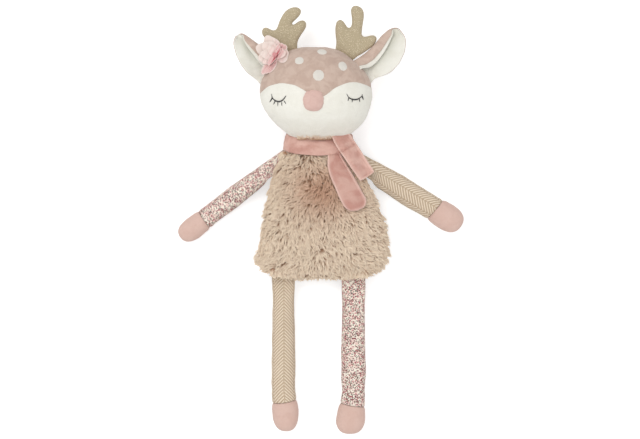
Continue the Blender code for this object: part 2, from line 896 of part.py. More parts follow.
def add_sheet(name, bm, material):
    """An open sheet of cloth as an object, its faces turned as they were made."""
    mesh = bpy.data.meshes.new(name)
    bm.to_mesh(mesh)
    bm.free()
    mesh.shade_smooth()
    made = bpy.data.objects.new(name, mesh)
    made.data.materials.append(material)
    bpy.context.scene.collection.objects.link(made)
    return made


def add_offset(sheet, distance):
    shift = sheet.modifiers.new("layer", "DISPLACE")
    shift.direction = "NORMAL"
    shift.mid_level = 0.0
    shift.strength = distance


def flower_point(radius_share, turn, ring):
    """A point of one petal ring in the flower's own frame, facing +Z."""
    _, wide, cup, ruffle = flower_ring_shares[ring]
    reach = radius_share * wide
    lobes = math.cos(flower_lobes * turn)
    radius = flower_radius * reach * (1 + 0.1 * lobes * radius_share)
    wave = flower_ruffle * ruffle * radius_share**2 * math.sin(2 * flower_lobes * turn)
    rise = flower_cup * cup * radius_share**2 + ring * flower_layer_step + wave
    return Vector((radius * math.cos(turn), radius * math.sin(turn), rise))


def make_flower(pink):
    """Ruffled rings of cloth, one in another, pressed against the head where they meet it."""
    x, y = head_place(*flower_place_shares)
    face = Vector(flower_tilt).to_track_quat("Z", "Y").to_matrix().to_4x4()
    pose = Matrix.Translation((x, y, flower_height)) @ face
    for ring, (name, *_) in enumerate(flower_ring_shares):
        bm = bmesh.new()
        steps = flower_ring_steps - 6 * ring

        def place(column, row, ring=ring):
            share = 0.16 + 0.84 * row
            return flower_seated(pose @ flower_point(share, 2 * math.pi * column, ring), ring)

        lines = add_grid(bm, steps, 3, place, closed=True)
        bm.faces.new(lines[0])
        bmesh.ops.recalc_face_normals(bm, faces=bm.faces[:])
        sheet = add_sheet(name, bm, pink)
        thick = sheet.modifiers.new("cloth", "SOLIDIFY")
        thick.thickness = petal_cloth
        thick.offset = 0.0
    bm = bmesh.new()
    bmesh.ops.create_uvsphere(bm, u_segments=10, v_segments=6, radius=flower_bud)
    bud_lift = flower_layer_step * 2 + petal_cloth / 2 + flower_bud * 1.06
    bm.transform(pose @ Matrix.Translation((0, 0, bud_lift)))
    add_object("flower_bud", bm, pink)


def flower_seated(point, ring):
    """Keeps a petal off the head's front where it lies over it."""
    along = (point.y - head_bottom) / head_length
    if not 0 <= along <= 1:
        return point
    middle = curve_value(head_outline_shares, along) * head.half
    wide = curve_value(head_outline_shares, along, 2) * head.half
    if abs(point.x - middle) >= wide:
        return point
    lift = 2 * petal_cloth + ring * flower_layer_step
    floor = head.front_at(point.x, point.y, lift, upright=True)
    return Vector((point.x, point.y, max(point.z, floor.z)))


class Limb:
    """A limp stuffed limb from its sewn root to the tip of its mitt, lying on the table."""

    def __init__(self, root, seam, turn, width, thickness, length, sleeve, wide, toe):
        self.root, self.seam = root, seam
        self.ahead = Vector((math.cos(turn), math.sin(turn), 0.0))
        self.aside = Vector((-math.sin(turn), math.cos(turn), 0.0))
        if self.aside.dot(seam) < 0:
            self.seam = -seam
        self.width, self.thickness = width, thickness
        self.length, self.sleeve = length, sleeve
        self.wide, self.toe = wide, toe

    def centre(self, distance):
        share = min(distance / self.length, 1.0)
        low = self.thickness / 2 - rest_flat
        drop = curve_value(limb_height_shares, share)
        at = self.root + self.ahead * distance
        at += Vector((self.toe * curve_value(toe_shift_shares, share), 0, 0))
        at.z = low + (self.root.z - low) * drop
        return at

    def point(self, distance, around, inset):
        """A surface point at a distance from the root, around from 0 to 1."""
        share = min(max(distance / self.length, 0.0), 1.0)
        half = self.width / 2 * curve_value(self.wide, share) - inset
        full = self.thickness / 2
        deep = sleeve_root + (full - sleeve_root) * curve_value(limb_thick_shares, share)
        deep = max(deep - inset, sleeve_root / 2)
        turn = min(distance / arm_root_turn, 1.0)
        turn = turn * turn * (3 - 2 * turn)
        across = self.seam.lerp(self.aside, turn).normalized()
        half = max(half, sleeve_root) / max(across.dot(self.aside), 0.2)
        angle = 2 * math.pi * around
        at = self.centre(distance) + across * (half * math.cos(angle))
        at.z = max(at.z + deep * math.sin(angle), inset)
        return at


def make_limb(prefix, mitt_name, limb, sleeve_rows, cloth, velour, stuffing):
    """A limb's three solids: its sleeve, closed flat at the root, its mitt, and the filling in both."""
    sides = limb_sides

    def rings(bm, start, end, rows, inset):
        def place(column, row):
            return limb.point(start + (end - start) * row**1.4, column, inset)

        return add_grid(bm, sides, rows, place, closed=True)

    bm = bmesh.new()
    outer = rings(bm, 0.0, limb.sleeve - seam_gap / 2, sleeve_rows, 0.0)
    inner = rings(bm, sleeve_closed, limb.sleeve - seam_gap / 2, sleeve_rows - 1, fabric)
    join_lines(bm, outer[-1], inner[-1], True)
    bm.faces.new(outer[0])
    bm.faces.new(inner[0])
    add_object(prefix, bm, cloth)

    def domed(bm, tip, inset):
        start = limb.sleeve + seam_gap / 2

        def place(column, row):
            return limb.point(start + (tip - start) * math.sin(math.pi / 2 * row), column, inset)

        return add_grid(bm, sides, 5, place, closed=True)

    bm = bmesh.new()
    outer = domed(bm, limb.length, 0.0)
    inner = domed(bm, limb.length - fabric, fabric)
    join_lines(bm, outer[0], inner[0], True)
    bm.faces.new(outer[-1])
    bm.faces.new(inner[-1])
    add_object(mitt_name, bm, velour)

    bm = bmesh.new()
    inset = fabric + filling_gap
    start, end = sleeve_closed + 2 * filling_gap, limb.length - inset

    def filled(column, row):
        return limb.point(start + (end - start) * eased(row), column, inset)

    lines = add_grid(bm, sides, sleeve_rows, filled, closed=True)
    bm.faces.new(lines[0])
    bm.faces.new(lines[-1])
    add_object(prefix + "_filling", bm, stuffing)


def arm_limb(side, turn, width, length, sleeve):
    """An arm, its flat root along the torso's side seam."""
    low, high = torso.edge(side, arm_root_shares[0]), torso.edge(side, arm_root_shares[1])
    seam = (high - low).normalized()
    seam = Vector((seam.x, seam.y, 0.0)).normalized()
    outward = Vector((seam.y, -seam.x, 0.0)) * side
    middle = (arm_root_shares[0] + arm_root_shares[1]) / 2
    bulge = (torso.edge(side, middle) - (low + high) / 2).dot(outward)
    root = (low + high) / 2 + outward * (bulge + limb_seat_gap)
    return Limb(root, seam, turn, width, arm_thickness, length, sleeve, arm_wide_shares, 0.0)


def leg_limb(side, width, length, sleeve):
    """A leg, its flat root along the torso's bottom seam."""
    height = curve_value(torso_seam_shares, 0.0) * torso_seam_height
    root = Vector((side * leg_root_across, torso_bottom - limb_seat_gap, height))
    seam = Vector((1.0, 0.0, 0.0))
    toe = -side * toe_shift
    return Limb(root, seam, leg_turn, width, leg_thickness, length, sleeve, leg_wide_shares, toe)


def make_limbs(print_cloth, weave, pink, stuffing):
    left_arm = arm_limb(-1, left_arm_turn, left_arm_width, left_arm_length, left_arm_sleeve)
    right_arm = arm_limb(1, right_arm_turn, right_arm_width, right_arm_length, right_arm_sleeve)
    left_leg = leg_limb(-1, left_leg_width, left_leg_length, left_leg_sleeve)
    right_leg = leg_limb(1, right_leg_width, right_leg_length, right_leg_sleeve)
    make_limb("left_arm", "left_hand", left_arm, 8, print_cloth, pink, stuffing)
    make_limb("right_arm", "right_hand", right_arm, 8, weave, pink, stuffing)
    make_limb("left_leg", "left_foot", left_leg, 9, weave, pink, stuffing)
    make_limb("right_leg", "right_foot", right_leg, 9, print_cloth, pink, stuffing)


def scarf_loop_point(turn_share):
    """The middle of the band at a turn round the neck."""
    middle_z = (scarf_loop_front + scarf_loop_back) / 2
    half_z = (scarf_loop_front - scarf_loop_back) / 2
    middle_x = torso.edge(1, 0.97).lerp(torso.edge(-1, 0.97), 0.5).x
    turn = 2 * math.pi * turn_share
    along = curve_value(scarf_loop_shares, turn_share)
    x = middle_x + scarf_loop_half_width * math.cos(turn)
    return Vector((x, torso_bottom + along * torso_length, middle_z + half_z * math.sin(turn)))


def make_scarf_loop(velour):
    """The band round the neck: a soft flat strip swept once round."""
    bm = bmesh.new()
    rows = scarf_loop_steps
    lines = []
    for r in range(rows):
        turn = 2 * math.pi * r / rows
        outward = Vector((math.cos(turn), 0.0, math.sin(turn)))
        line = []
        for c in range(8):
            angle = 2 * math.pi * c / 8
            out = scarf_thickness / 2 * math.cos(angle) - scarf_flare * math.sin(angle)
            at = scarf_loop_point(r / rows) + outward * out
            line.append(bm.verts.new(at + Vector((0, scarf_band_width / 2 * math.sin(angle), 0))))
        lines.append(line)
    for r in range(rows):
        join_lines(bm, lines[r], lines[(r + 1) % rows], True)
    add_object("scarf_loop", bm, velour)


def scarf_rest(x, y, lift):
    """The height of a layer lying on the band, on the fur below it and on the arm's root."""
    fur_z = torso.front_at(x, y, 0.0).z + lift * scarf_slope
    if x > torso.half / 2:
        fur_z = max(fur_z, scarf_over_arm + lift)
    front, behind = scarf_loop_point(0.25), scarf_loop_point(0.75)
    out = scarf_flare + scarf_thickness / 2 + lift
    cosine = min(max((x - front.x) / (scarf_loop_half_width + out), -1.0), 1.0)
    rise = ((front.z - behind.z) / 2 + out) * math.sqrt(1 - cosine * cosine)
    band_z = max((front.z + behind.z) / 2 + rise, fur_z)
    band_y = scarf_loop_point(math.acos(cosine) / (2 * math.pi)).y
    over = (y - band_y + scarf_band_width / 2 + scarf_fall) / scarf_fall
    over = min(max(over, 0.0), 1.0)
    return fur_z + (band_z - fur_z) * over * over * (3 - 2 * over)


def chin_line(x):
    """The lowest point of the head's outline over a place across it."""
    for step in range(25):
        share = step / 60
        if head.edge(-1, share).x < x < head.edge(1, share).x:
            return head_bottom + share * head_length
    return head_bottom + 0.4 * head_length


def make_scarf_tail(name, shares, lift, under_band, velour):
    """A flat end of the scarf, thin at its edges, lying on what is under it."""
    bm = bmesh.new()
    half = torso.half

    def place(column, row, up):
        at = row * (len(shares) - 1)
        i = min(int(at), len(shares) - 2)
        part = at - i
        across, along, wide, lean = (
            a + (b - a) * part for a, b in zip(shares[i], shares[i + 1])
        )
        side = 2 * column - 1
        x = (across + side * wide * math.cos(lean)) * half
        y = torso_bottom + along * torso_length + side * wide * math.sin(lean) * half
        y = min(y, chin_line(x) - chin_gap)
        if under_band:
            return torso.front_at(x, y, lift + up * scarf_thickness)
        return Vector((x, y, scarf_rest(x, y, lift + up * scarf_thickness)))

    rows = (len(shares) - 1) * 2
    top = add_grid(bm, scarf_tail_columns, rows, lambda c, r: place(c, r, 1.0))
    low = add_grid(bm, scarf_tail_columns, rows, lambda c, r: place(c, r, 0.0))
    join_lines(bm, rim_of(top), rim_of(low), True)
    add_object(name, bm, velour)


def make_scarf(velour):
    make_scarf_loop(velour)
    over = scarf_clearance * 2 + scarf_thickness
    make_scarf_tail("scarf_lower_tail", lower_tail_shares, scarf_clearance, True, velour)
    make_scarf_tail("scarf_upper_tail", upper_tail_shares, over, False, velour)
    make_scarf_tail("scarf_wrap", wrap_shares, scarf_clearance, False, velour)


def main():
    clear_scene()
    cream = make_material("cream_velour", (0.93, 0.92, 0.88), 0.95)
    mauve = make_material("mauve_velour", (0.78, 0.67, 0.62), 0.95)
    pink = make_material("pink_velour", (0.86, 0.73, 0.69), 0.95)
    nose_pink = make_material("nose_velour", (0.88, 0.70, 0.67), 0.95)
    scarf_pink = make_material("scarf_velour", (0.82, 0.63, 0.59), 0.95)
    fur = make_material("beige_fur", (0.81, 0.71, 0.62), 1.0)
    print_cloth = make_material("ditsy_cotton", (0.89, 0.80, 0.76), 0.9)
    weave = make_material("herringbone_wool", (0.80, 0.71, 0.58), 0.95)
    linen = make_material("glitter_linen", (0.69, 0.63, 0.51), 0.7)
    petal = make_material("petal_chiffon", (0.93, 0.75, 0.74), 0.8)
    spot = make_material("spot_felt", (0.90, 0.87, 0.86), 0.95)
    thread = make_material("dark_thread", (0.27, 0.26, 0.25), 0.8)
    stuffing = make_material("polyester_fibre", (0.95, 0.95, 0.94), 1.0)

    make_torso(fur, stuffing)
    make_head(cream, mauve, stuffing)
    make_nose_and_spots(nose_pink, spot)
    for name, across, along, corner in eyelid_shares:
        make_eyelid(name, across, along, corner, thread)
    left_pose = antler_pose(-1, antler_base_shares[0], antler_lean_left)
    right_pose = antler_pose(1, antler_base_shares[1], antler_lean_right)
    make_antler("left_antler", left_pose, left_antler_shares, linen, stuffing)
    make_antler("right_antler", right_pose, right_antler_shares, linen, stuffing)
    left_ear = (left_ear_shares, left_ear_length, left_ear_width, left_ear_flap)
    right_ear = (right_ear_shares, right_ear_length, right_ear_width, right_ear_flap)
    make_ear("left_ear", -1, ear_base_shares[0], left_ear_turn, left_ear, cream, mauve)
    make_ear("right_ear", 1, ear_base_shares[1], right_ear_turn, right_ear, cream, mauve)
    make_flower(petal)
    make_limbs(print_cloth, weave, pink, stuffing)
    make_scarf(scarf_pink)


main()
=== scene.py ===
import math

import bmesh
import bpy
import numpy as np
from mathutils import Matrix, Vector
from mathutils import noise as softNoise
from mathutils.bvhtree import BVHTree
from mathutils.kdtree import KDTree


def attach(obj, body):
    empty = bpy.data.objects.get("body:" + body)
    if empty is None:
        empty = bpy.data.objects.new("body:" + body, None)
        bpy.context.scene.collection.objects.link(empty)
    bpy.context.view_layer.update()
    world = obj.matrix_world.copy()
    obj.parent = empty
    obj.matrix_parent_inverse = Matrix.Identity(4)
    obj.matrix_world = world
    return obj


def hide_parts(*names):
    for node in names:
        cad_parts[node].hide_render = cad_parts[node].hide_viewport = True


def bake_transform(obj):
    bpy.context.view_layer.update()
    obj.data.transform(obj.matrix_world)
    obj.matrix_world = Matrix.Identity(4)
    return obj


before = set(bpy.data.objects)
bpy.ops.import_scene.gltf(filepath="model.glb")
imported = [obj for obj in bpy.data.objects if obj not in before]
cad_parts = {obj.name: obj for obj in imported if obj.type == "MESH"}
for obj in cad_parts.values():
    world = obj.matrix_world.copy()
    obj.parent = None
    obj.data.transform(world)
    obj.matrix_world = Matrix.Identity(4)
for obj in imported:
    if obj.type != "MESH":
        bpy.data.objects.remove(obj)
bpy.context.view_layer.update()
mm = 0.001

# Colours are written as they should render, red, green and blue from 0 to 255
colours = {
    "cream": (236, 234, 225),
    "creamShade": (224, 221, 209),
    # painted shade for the hollow of each ear's lining
    "earHollowShade": (196, 195, 180),
    "mauve": (203, 181, 167),
    "mauveShade": (190, 166, 152),
    "pink": (214, 184, 172),
    "pinkShade": (205, 171, 158),
    "nose": (216, 185, 175),
    "noseShade": (203, 165, 155),
    "scarf": (219, 181, 168),
    "scarfTail": (206, 167, 154),
    "scarfShade": (189, 141, 129),
    # painted highlight along the scarf's hems
    "scarfHemHighlight": (232, 200, 188),
    "spot": (216, 210, 203),
    "linen": (204, 190, 162),
    "linenShade": (168, 152, 122),
    # painted glint of the glitter threads
    "linenGlint": (234, 222, 194),
    "weaveLight": (232, 216, 195),
    "weaveDark": (190, 166, 139),
    "printGround": (245, 234, 220),
    "printWash": (228, 196, 187),
    "printPink": (214, 148, 148),
    "printRose": (186, 106, 112),
    "printPale": (236, 200, 192),
    "printMaroon": (116, 42, 54),
    "printLeaf": (126, 124, 104),
    "printDark": (66, 50, 50),
    "petal": (244, 231, 222),
    "petalDeep": (214, 104, 118),
    "thread": (50, 48, 48),
    "furTip": (242, 226, 204),
    # painted shade deep in the pile, at the strands' roots
    "furRootShade": (174, 134, 106),
    # warmer, darker colour of the swirl, partly the pile's own colour and partly painted shade
    "furWarmShade": (218, 178, 152),
    "wadding": (240, 240, 238),
}


def colour(name, opacity=1.0):
    values = [part / 255 for part in colours[name]]  # screen colour to the light's own scale
    return [v / 12.92 if v < 0.04045 else ((v + 0.055) / 1.055) ** 2.4 for v in values] + [opacity]


def newMaterial(name, roughness, sheen=0.0, **shaderValues):
    material = bpy.data.materials.new(name)
    material.use_nodes = True
    shader = material.node_tree.nodes["Principled BSDF"]
    shader.inputs["Roughness"].default_value = roughness
    shader.inputs["Specular IOR Level"].default_value = 0.2
    shader.inputs["Sheen Weight"].default_value = sheen
    shader.inputs["Sheen Roughness"].default_value = 0.4
    for socket, value in shaderValues.items():
        shader.inputs[socket].default_value = value
    return material


def addNode(material, kind, inputs=None, **settings):
    node = material.node_tree.nodes.new(kind)
    for key, value in settings.items():
        setattr(node, key, value)
    for key, value in (inputs or {}).items():
        if isinstance(value, bpy.types.NodeSocket):
            material.node_tree.links.new(value, node.inputs[key])
        else:
            node.inputs[key].default_value = value
    return node


def sumOf(material, operation, *values):
    return addNode(material, "ShaderNodeMath", dict(enumerate(values)), operation=operation).outputs[0]


def mixOf(material, share, first, second):
    node = addNode(material, "ShaderNodeMix", data_type="RGBA")
    for index, value in ((0, share), (6, first), (7, second)):
        if isinstance(value, bpy.types.NodeSocket):
            material.node_tree.links.new(value, node.inputs[index])
        else:
            node.inputs[index].default_value = value
    return node.outputs[2]


def stepOf(material, value, low, high):
    return addNode(
        material, "ShaderNodeMapRange",
        {"Value": value, "From Min": low, "From Max": high}, interpolation_type="SMOOTHSTEP",
    ).outputs[0]


def noiseOf(material, place, size, detail=2.0, roughness=0.5, distortion=0.0):
    return addNode(
        material, "ShaderNodeTexNoise",
        {"Vector": place, "Scale": 1 / size, "Detail": detail, "Roughness": roughness, "Distortion": distortion},
    ).outputs["Fac"]


def objectPlace(material, stretch=(1, 1, 1)):
    place = addNode(material, "ShaderNodeTexCoord").outputs["Object"]
    if stretch == (1, 1, 1):
        return place
    return addNode(material, "ShaderNodeMapping", {"Vector": place, "Scale": stretch}).outputs[0]


def finishMaterial(material, base=None, height=None, depth=0.2 * mm, roughness=None):
    shader = material.node_tree.nodes["Principled BSDF"]
    links = material.node_tree.links
    if base is not None:
        links.new(base, shader.inputs["Base Color"])
    if roughness is not None:
        links.new(roughness, shader.inputs["Roughness"])
    if height is not None:
        bump = addNode(material, "ShaderNodeBump", {"Height": height, "Distance": depth, "Strength": 1.0})
        links.new(bump.outputs[0], shader.inputs["Normal"])
    return material


def makeVelour(name, pile, shade, nap=9 * mm, contrast=0.5, rim=None):
    material = newMaterial(name, 0.85, sheen=0.35)
    place = objectPlace(material)
    patches = stepOf(material, noiseOf(material, place, nap, 2.0, 0.55, 0.6), 0.35, 0.68)
    fibres = noiseOf(material, place, 0.45 * mm, 2.0, 0.7)
    tufts = noiseOf(material, place, 1.7 * mm, 2.0, 0.6)
    # Painted shade: random nap patches go darker towards the shade colour, where pile lying another way catches less
    # light
    napShade = sumOf(material, "MULTIPLY", patches, contrast)
    speckle = sumOf(material, "MULTIPLY_ADD", tufts, 0.5, napShade)
    speckle = sumOf(material, "SUBTRACT", speckle, 0.12)
    base = mixOf(material, speckle, colour(pile), colour(shade))
    if rim:  # painted light: the pile goes towards the rim colour where the rim attribute is high, a painted highlight on the scarf's hems and painted shade in the ears' hollows
        edge = addNode(material, "ShaderNodeAttribute", attribute_name="rim").outputs["Fac"]
        base = mixOf(material, sumOf(material, "MULTIPLY", edge, 0.75), base, colour(rim))
    height = sumOf(material, "MULTIPLY_ADD", fibres, 0.45, tufts)
    return finishMaterial(material, base, height, 0.35 * mm)


def makeHerringbone(name, columnWidth=6.0 * mm, stroke=3.1 * mm, shift=0.0):
    material = newMaterial(name, 0.8, sheen=0.15)
    clothPlace = addNode(material, "ShaderNodeUVMap", uv_map="cloth").outputs[0]
    split = addNode(material, "ShaderNodeSeparateXYZ", {0: clothPlace})
    around = sumOf(material, "ADD", split.outputs[0], shift)
    zigzag = sumOf(material, "PINGPONG", around, columnWidth)  # each column leans the other way
    along = sumOf(material, "SUBTRACT", split.outputs[1], zigzag)
    wobble = noiseOf(material, objectPlace(material), 5 * mm)
    along = sumOf(material, "MULTIPLY_ADD", wobble, 0.5 * mm, along)
    stripe = sumOf(material, "SINE", sumOf(material, "MULTIPLY", along, 2 * math.pi / stroke))
    stripe = sumOf(material, "MULTIPLY_ADD", stripe, 0.5, 0.5)
    yarn = noiseOf(material, objectPlace(material), 0.6 * mm, 2.0, 0.7)
    edge = sumOf(material, "PINGPONG", around, columnWidth / 2)
    edge = stepOf(material, edge, 0.0, 0.5 * mm)
    raised = stepOf(material, stripe, 0.18, 0.62)
    raised = sumOf(material, "MULTIPLY", raised, edge)
    patch = noiseOf(material, objectPlace(material), 14 * mm)
    tone = sumOf(material, "MULTIPLY_ADD", yarn, 0.5, sumOf(material, "MULTIPLY", raised, 0.85))
    tone = sumOf(material, "MULTIPLY_ADD", patch, 0.3, sumOf(material, "SUBTRACT", tone, 0.38))
    base = mixOf(material, tone, colour("weaveDark"), colour("weaveLight"))
    height = sumOf(material, "MULTIPLY_ADD", yarn, 0.35, raised)
    return finishMaterial(material, base, height, 0.45 * mm)


def makeDitsyPrint(name):
    # A common small-flower print: blossoms, dots and leaves in patches on a cream ground
    material = newMaterial(name, 0.8, sheen=0.1)
    place = addNode(material, "ShaderNodeUVMap", uv_map="cloth").outputs[0]
    patch = noiseOf(material, place, 7.0 * mm, 1.0)
    wash = stepOf(material, noiseOf(material, place, 3.6 * mm, 1.0), 0.50, 0.60)
    base = mixOf(material, sumOf(material, "MULTIPLY", wash, 0.75), colour("printGround"), colour("printWash"))
    layers = (
        # (cell size, share of cells filled, petals, size in the cell, colours)
        (2.3 * mm, 0.62, 5, 0.36, ("printPink", "printRose", "printPale")),
        (1.5 * mm, 0.72, 0, 0.32, ("printMaroon", "printLeaf", "printDark")),
        (1.9 * mm, 0.42, 3, 0.28, ("printLeaf", "printMaroon", "printDark")),
    )
    for size, filled, petals, reach, inks in layers:
        cells = addNode(material, "ShaderNodeTexVoronoi", {"Vector": place, "Scale": 1 / size, "Randomness": 0.9},
                        voronoi_dimensions="2D")
        chance = addNode(material, "ShaderNodeSeparateColor", {0: cells.outputs["Color"]})
        apart = addNode(
            material, "ShaderNodeVectorMath", {0: place, 1: cells.outputs["Position"]}, operation="SUBTRACT",
        )
        split = addNode(material, "ShaderNodeSeparateXYZ", {0: apart.outputs[0]})
        turn = sumOf(material, "ARCTAN2", split.outputs[1], split.outputs[0])
        turn = sumOf(material, "MULTIPLY_ADD", turn, float(max(petals, 1)),
                     sumOf(material, "MULTIPLY", chance.outputs[2], 6.3))
        lobe = sumOf(material, "MULTIPLY_ADD", sumOf(material, "COSINE", turn), 0.3 if petals else 0.0, 1.0)
        gap = sumOf(material, "SUBTRACT", sumOf(material, "MULTIPLY", lobe, reach), cells.outputs["Distance"])
        inside = stepOf(material, gap, -0.04, 0.04)
        limit = sumOf(material, "MULTIPLY_ADD", patch, 1.2, filled - 0.6)  # denser in some patches
        picked = sumOf(material, "LESS_THAN", chance.outputs[0], limit)
        ink = mixOf(material, sumOf(material, "GREATER_THAN", chance.outputs[1], 0.36),
                    colour(inks[0]), colour(inks[1]))
        ink = mixOf(material, sumOf(material, "GREATER_THAN", chance.outputs[1], 0.72), ink, colour(inks[2]))
        if petals == 5:  # a darker eye
            ink = mixOf(material, stepOf(material, cells.outputs["Distance"], 0.07, 0.13), colour("printMaroon"), ink)
        base = mixOf(material, sumOf(material, "MULTIPLY", inside, picked), base, ink)
    threads = addNode(material, "ShaderNodeTexBrick", {"Vector": place, "Scale": 1 / (1.1 * mm)})
    weave = noiseOf(material, place, 0.4 * mm)
    height = sumOf(material, "MULTIPLY_ADD", threads.outputs["Fac"], 0.3, weave)
    return finishMaterial(material, base, height, 0.15 * mm)


def shade(red, green, blue):
    return [v / 12.92 if v < 0.04045 else ((v + 0.055) / 1.055) ** 2.4 for v in (red, green, blue)] + [1.0]


def makeGlitterLinen(name):
    material = newMaterial(name, 0.65, sheen=0.1)
    place = objectPlace(material)
    split = addNode(material, "ShaderNodeSeparateXYZ", {0: place})
    pitch = 2 * math.pi / (1.3 * mm)
    wobble = sumOf(material, "MULTIPLY", noiseOf(material, place, 3 * mm), 5.0)
    warp = sumOf(material, "SINE", sumOf(material, "MULTIPLY_ADD", split.outputs[0], pitch, wobble))
    weft = sumOf(material, "SINE", sumOf(material, "MULTIPLY_ADD", split.outputs[1], pitch, wobble))
    weave = sumOf(material, "MULTIPLY_ADD", sumOf(material, "MULTIPLY", warp, weft), 0.5, 0.5)
    slub = noiseOf(material, objectPlace(material, (1, 3, 1)), 2.2 * mm, 3.0, 0.7)
    tone = sumOf(material, "MULTIPLY_ADD", weave, 0.5, sumOf(material, "MULTIPLY", slub, 0.8))
    base = mixOf(material, sumOf(material, "SUBTRACT", tone, 0.15), colour("linenShade"), colour("linen"))
    cells = addNode(material, "ShaderNodeTexVoronoi", {"Vector": place, "Scale": 1 / (0.7 * mm)})
    chance = addNode(material, "ShaderNodeSeparateColor", {0: cells.outputs["Color"]})
    # Glitter threads: painted lighter as a painted glint, and made smoother and tilted for their own shine
    glintFleck = sumOf(material, "GREATER_THAN", chance.outputs[0], 0.74)
    glintFleck = sumOf(material, "MULTIPLY", glintFleck, sumOf(material, "LESS_THAN", cells.outputs["Distance"], 0.42))
    base = mixOf(material, glintFleck, base, colour("linenGlint"))
    roughness = sumOf(material, "MULTIPLY_ADD", glintFleck, -0.4, 0.7)
    tilt = sumOf(material, "MULTIPLY", glintFleck, chance.outputs[1])
    height = sumOf(material, "ADD", weave, tilt)
    return finishMaterial(material, base, height, 0.3 * mm, roughness)


def makeFur(name, low, high):
    # Painted shade: strands go to the dark root colour near the root, for the shadow deep in the pile, and are pale at
    # the tip; each lock has its own tone, which pulls it partly towards the root shade
    material = newMaterial(name, 0.8, sheen=0.8)
    tip = addNode(material, "ShaderNodeAttribute", attribute_name="tip").outputs["Fac"]
    tone = addNode(material, "ShaderNodeAttribute", attribute_name="tone").outputs["Fac"]
    warmShade = addNode(material, "ShaderNodeAttribute", attribute_name="warmShade").outputs["Fac"]
    body = mixOf(material, warmShade, colour("furTip"), colour("furWarmShade"))
    body = mixOf(material, sumOf(material, "MULTIPLY", tone, 0.42), body, colour("furRootShade"))
    base = mixOf(material, stepOf(material, tip, low, high), colour("furRootShade"), body)
    return finishMaterial(material, base)


def makeChiffon(name):
    material = newMaterial(name, 0.6, sheen=0.3, Alpha=0.86)
    deep = addNode(material, "ShaderNodeAttribute", attribute_name="fold").outputs["Fac"]
    threads = noiseOf(material, objectPlace(material), 0.5 * mm)
    base = mixOf(material, deep, colour("petal"), colour("petalDeep"))
    return finishMaterial(material, base, threads, 0.1 * mm)


def makeThread(name, tone):
    material = newMaterial(name, 0.6, sheen=0.2)
    strands = noiseOf(material, objectPlace(material), 0.35 * mm, 1.0)
    base = mixOf(material, strands, colour(tone), shade(0.30, 0.29, 0.29))
    return finishMaterial(material, base, strands, 0.15 * mm)


def makeWadding(name):
    material = newMaterial(name, 0.9, sheen=0.4)
    fibres = noiseOf(material, objectPlace(material, (1, 4, 1)), 1.2 * mm, 3.0, 0.7)
    base = mixOf(material, fibres, colour("wadding"), shade(0.84, 0.84, 0.83))
    return finishMaterial(material, base, fibres, 0.8 * mm)


finishes = {
    "creamVelour": makeVelour("creamVelour", "cream", "creamShade", 16 * mm, 0.35),
    "mauveVelour": makeVelour("mauveVelour", "mauve", "mauveShade", 8 * mm, 0.9),
    "pinkVelour": makeVelour("pinkVelour", "pink", "pinkShade", 9 * mm, 0.4),
    "noseVelour": makeVelour("noseVelour", "nose", "noseShade", 8 * mm, 0.3),
    "earVelour": makeVelour("earVelour", "cream", "creamShade", 12 * mm, 0.5, "earHollowShade"),
    "scarfVelour": makeVelour("scarfVelour", "scarf", "scarfShade", 17 * mm, 0.75, "scarfHemHighlight"),
    "tailVelour": makeVelour("tailVelour", "scarfTail", "scarfShade", 17 * mm, 1.0, "scarfHemHighlight"),
    "spotFelt": makeVelour("spotFelt", "spot", "creamShade", 3 * mm, 0.3),
    "legHerringbone": makeHerringbone("legHerringbone", columnWidth=10.4 * mm, shift=0.5 * mm),
    "armHerringbone": makeHerringbone("armHerringbone", columnWidth=8.4 * mm, shift=2.0 * mm),
    "ditsyPrint": makeDitsyPrint("ditsyPrint"),
    "glitterLinen": makeGlitterLinen("glitterLinen"),
    "furStrands": makeFur("furStrands", 0.08, 0.66),
    "furBacking": makeVelour("furBacking", "furTip", "furRootShade", 4 * mm, 0.8),
    "chiffon": makeChiffon("chiffon"),
    "darkThread": makeThread("darkThread", "thread"),
    "wadding": makeWadding("wadding"),
}
print("materials made")


def addPiece(name, mesh, finish, body=None, stands=()):
    if isinstance(mesh, bmesh.types.BMesh):
        data = bpy.data.meshes.new(name)
        mesh.to_mesh(data)
        mesh.free()
        mesh = data
    mesh.materials.clear()
    mesh.materials.append(finishes[finish])
    mesh.shade_smooth()
    piece = bpy.data.objects.new(name, mesh)
    bpy.context.scene.collection.objects.link(piece)
    if body:
        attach(piece, body)
    if stands:
        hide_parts(*stands)
    return piece


def thicken(piece, thickness, offset=-1.0, levels=0):
    wall = piece.modifiers.new("cloth", "SOLIDIFY")
    wall.thickness = thickness
    wall.offset = offset
    wall.use_even_offset = False
    if levels:
        soft = piece.modifiers.new("soft", "SUBSURF")
        soft.levels = soft.render_levels = levels
    return piece


def valueAt(rows, share, column=1):
    return float(np.interp(share, [row[0] for row in rows], [row[column] for row in rows]))


def surfaceOf(*names):
    points, faces = [], []
    for name in names:
        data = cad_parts[name].data
        start = len(points)
        points += [v.co.copy() for v in data.vertices]
        faces += [[start + i for i in face.vertices] for face in data.polygons]
    return BVHTree.FromPolygons(points, faces)


def quadBall(cuts):
    bm = bmesh.new()
    bmesh.ops.create_cube(bm, size=2)
    bmesh.ops.subdivide_edges(bm, edges=bm.edges[:], cuts=cuts, use_grid_fill=True)
    for vert in bm.verts:
        vert.co = Vector([math.tan(part * math.pi / 4) for part in vert.co]).normalized()
    return bm


def smooth(bm, rounds, strength=0.5):
    for _ in range(rounds):
        bmesh.ops.smooth_vert(bm, verts=bm.verts[:], factor=strength, use_axis_x=True, use_axis_y=True, use_axis_z=True)


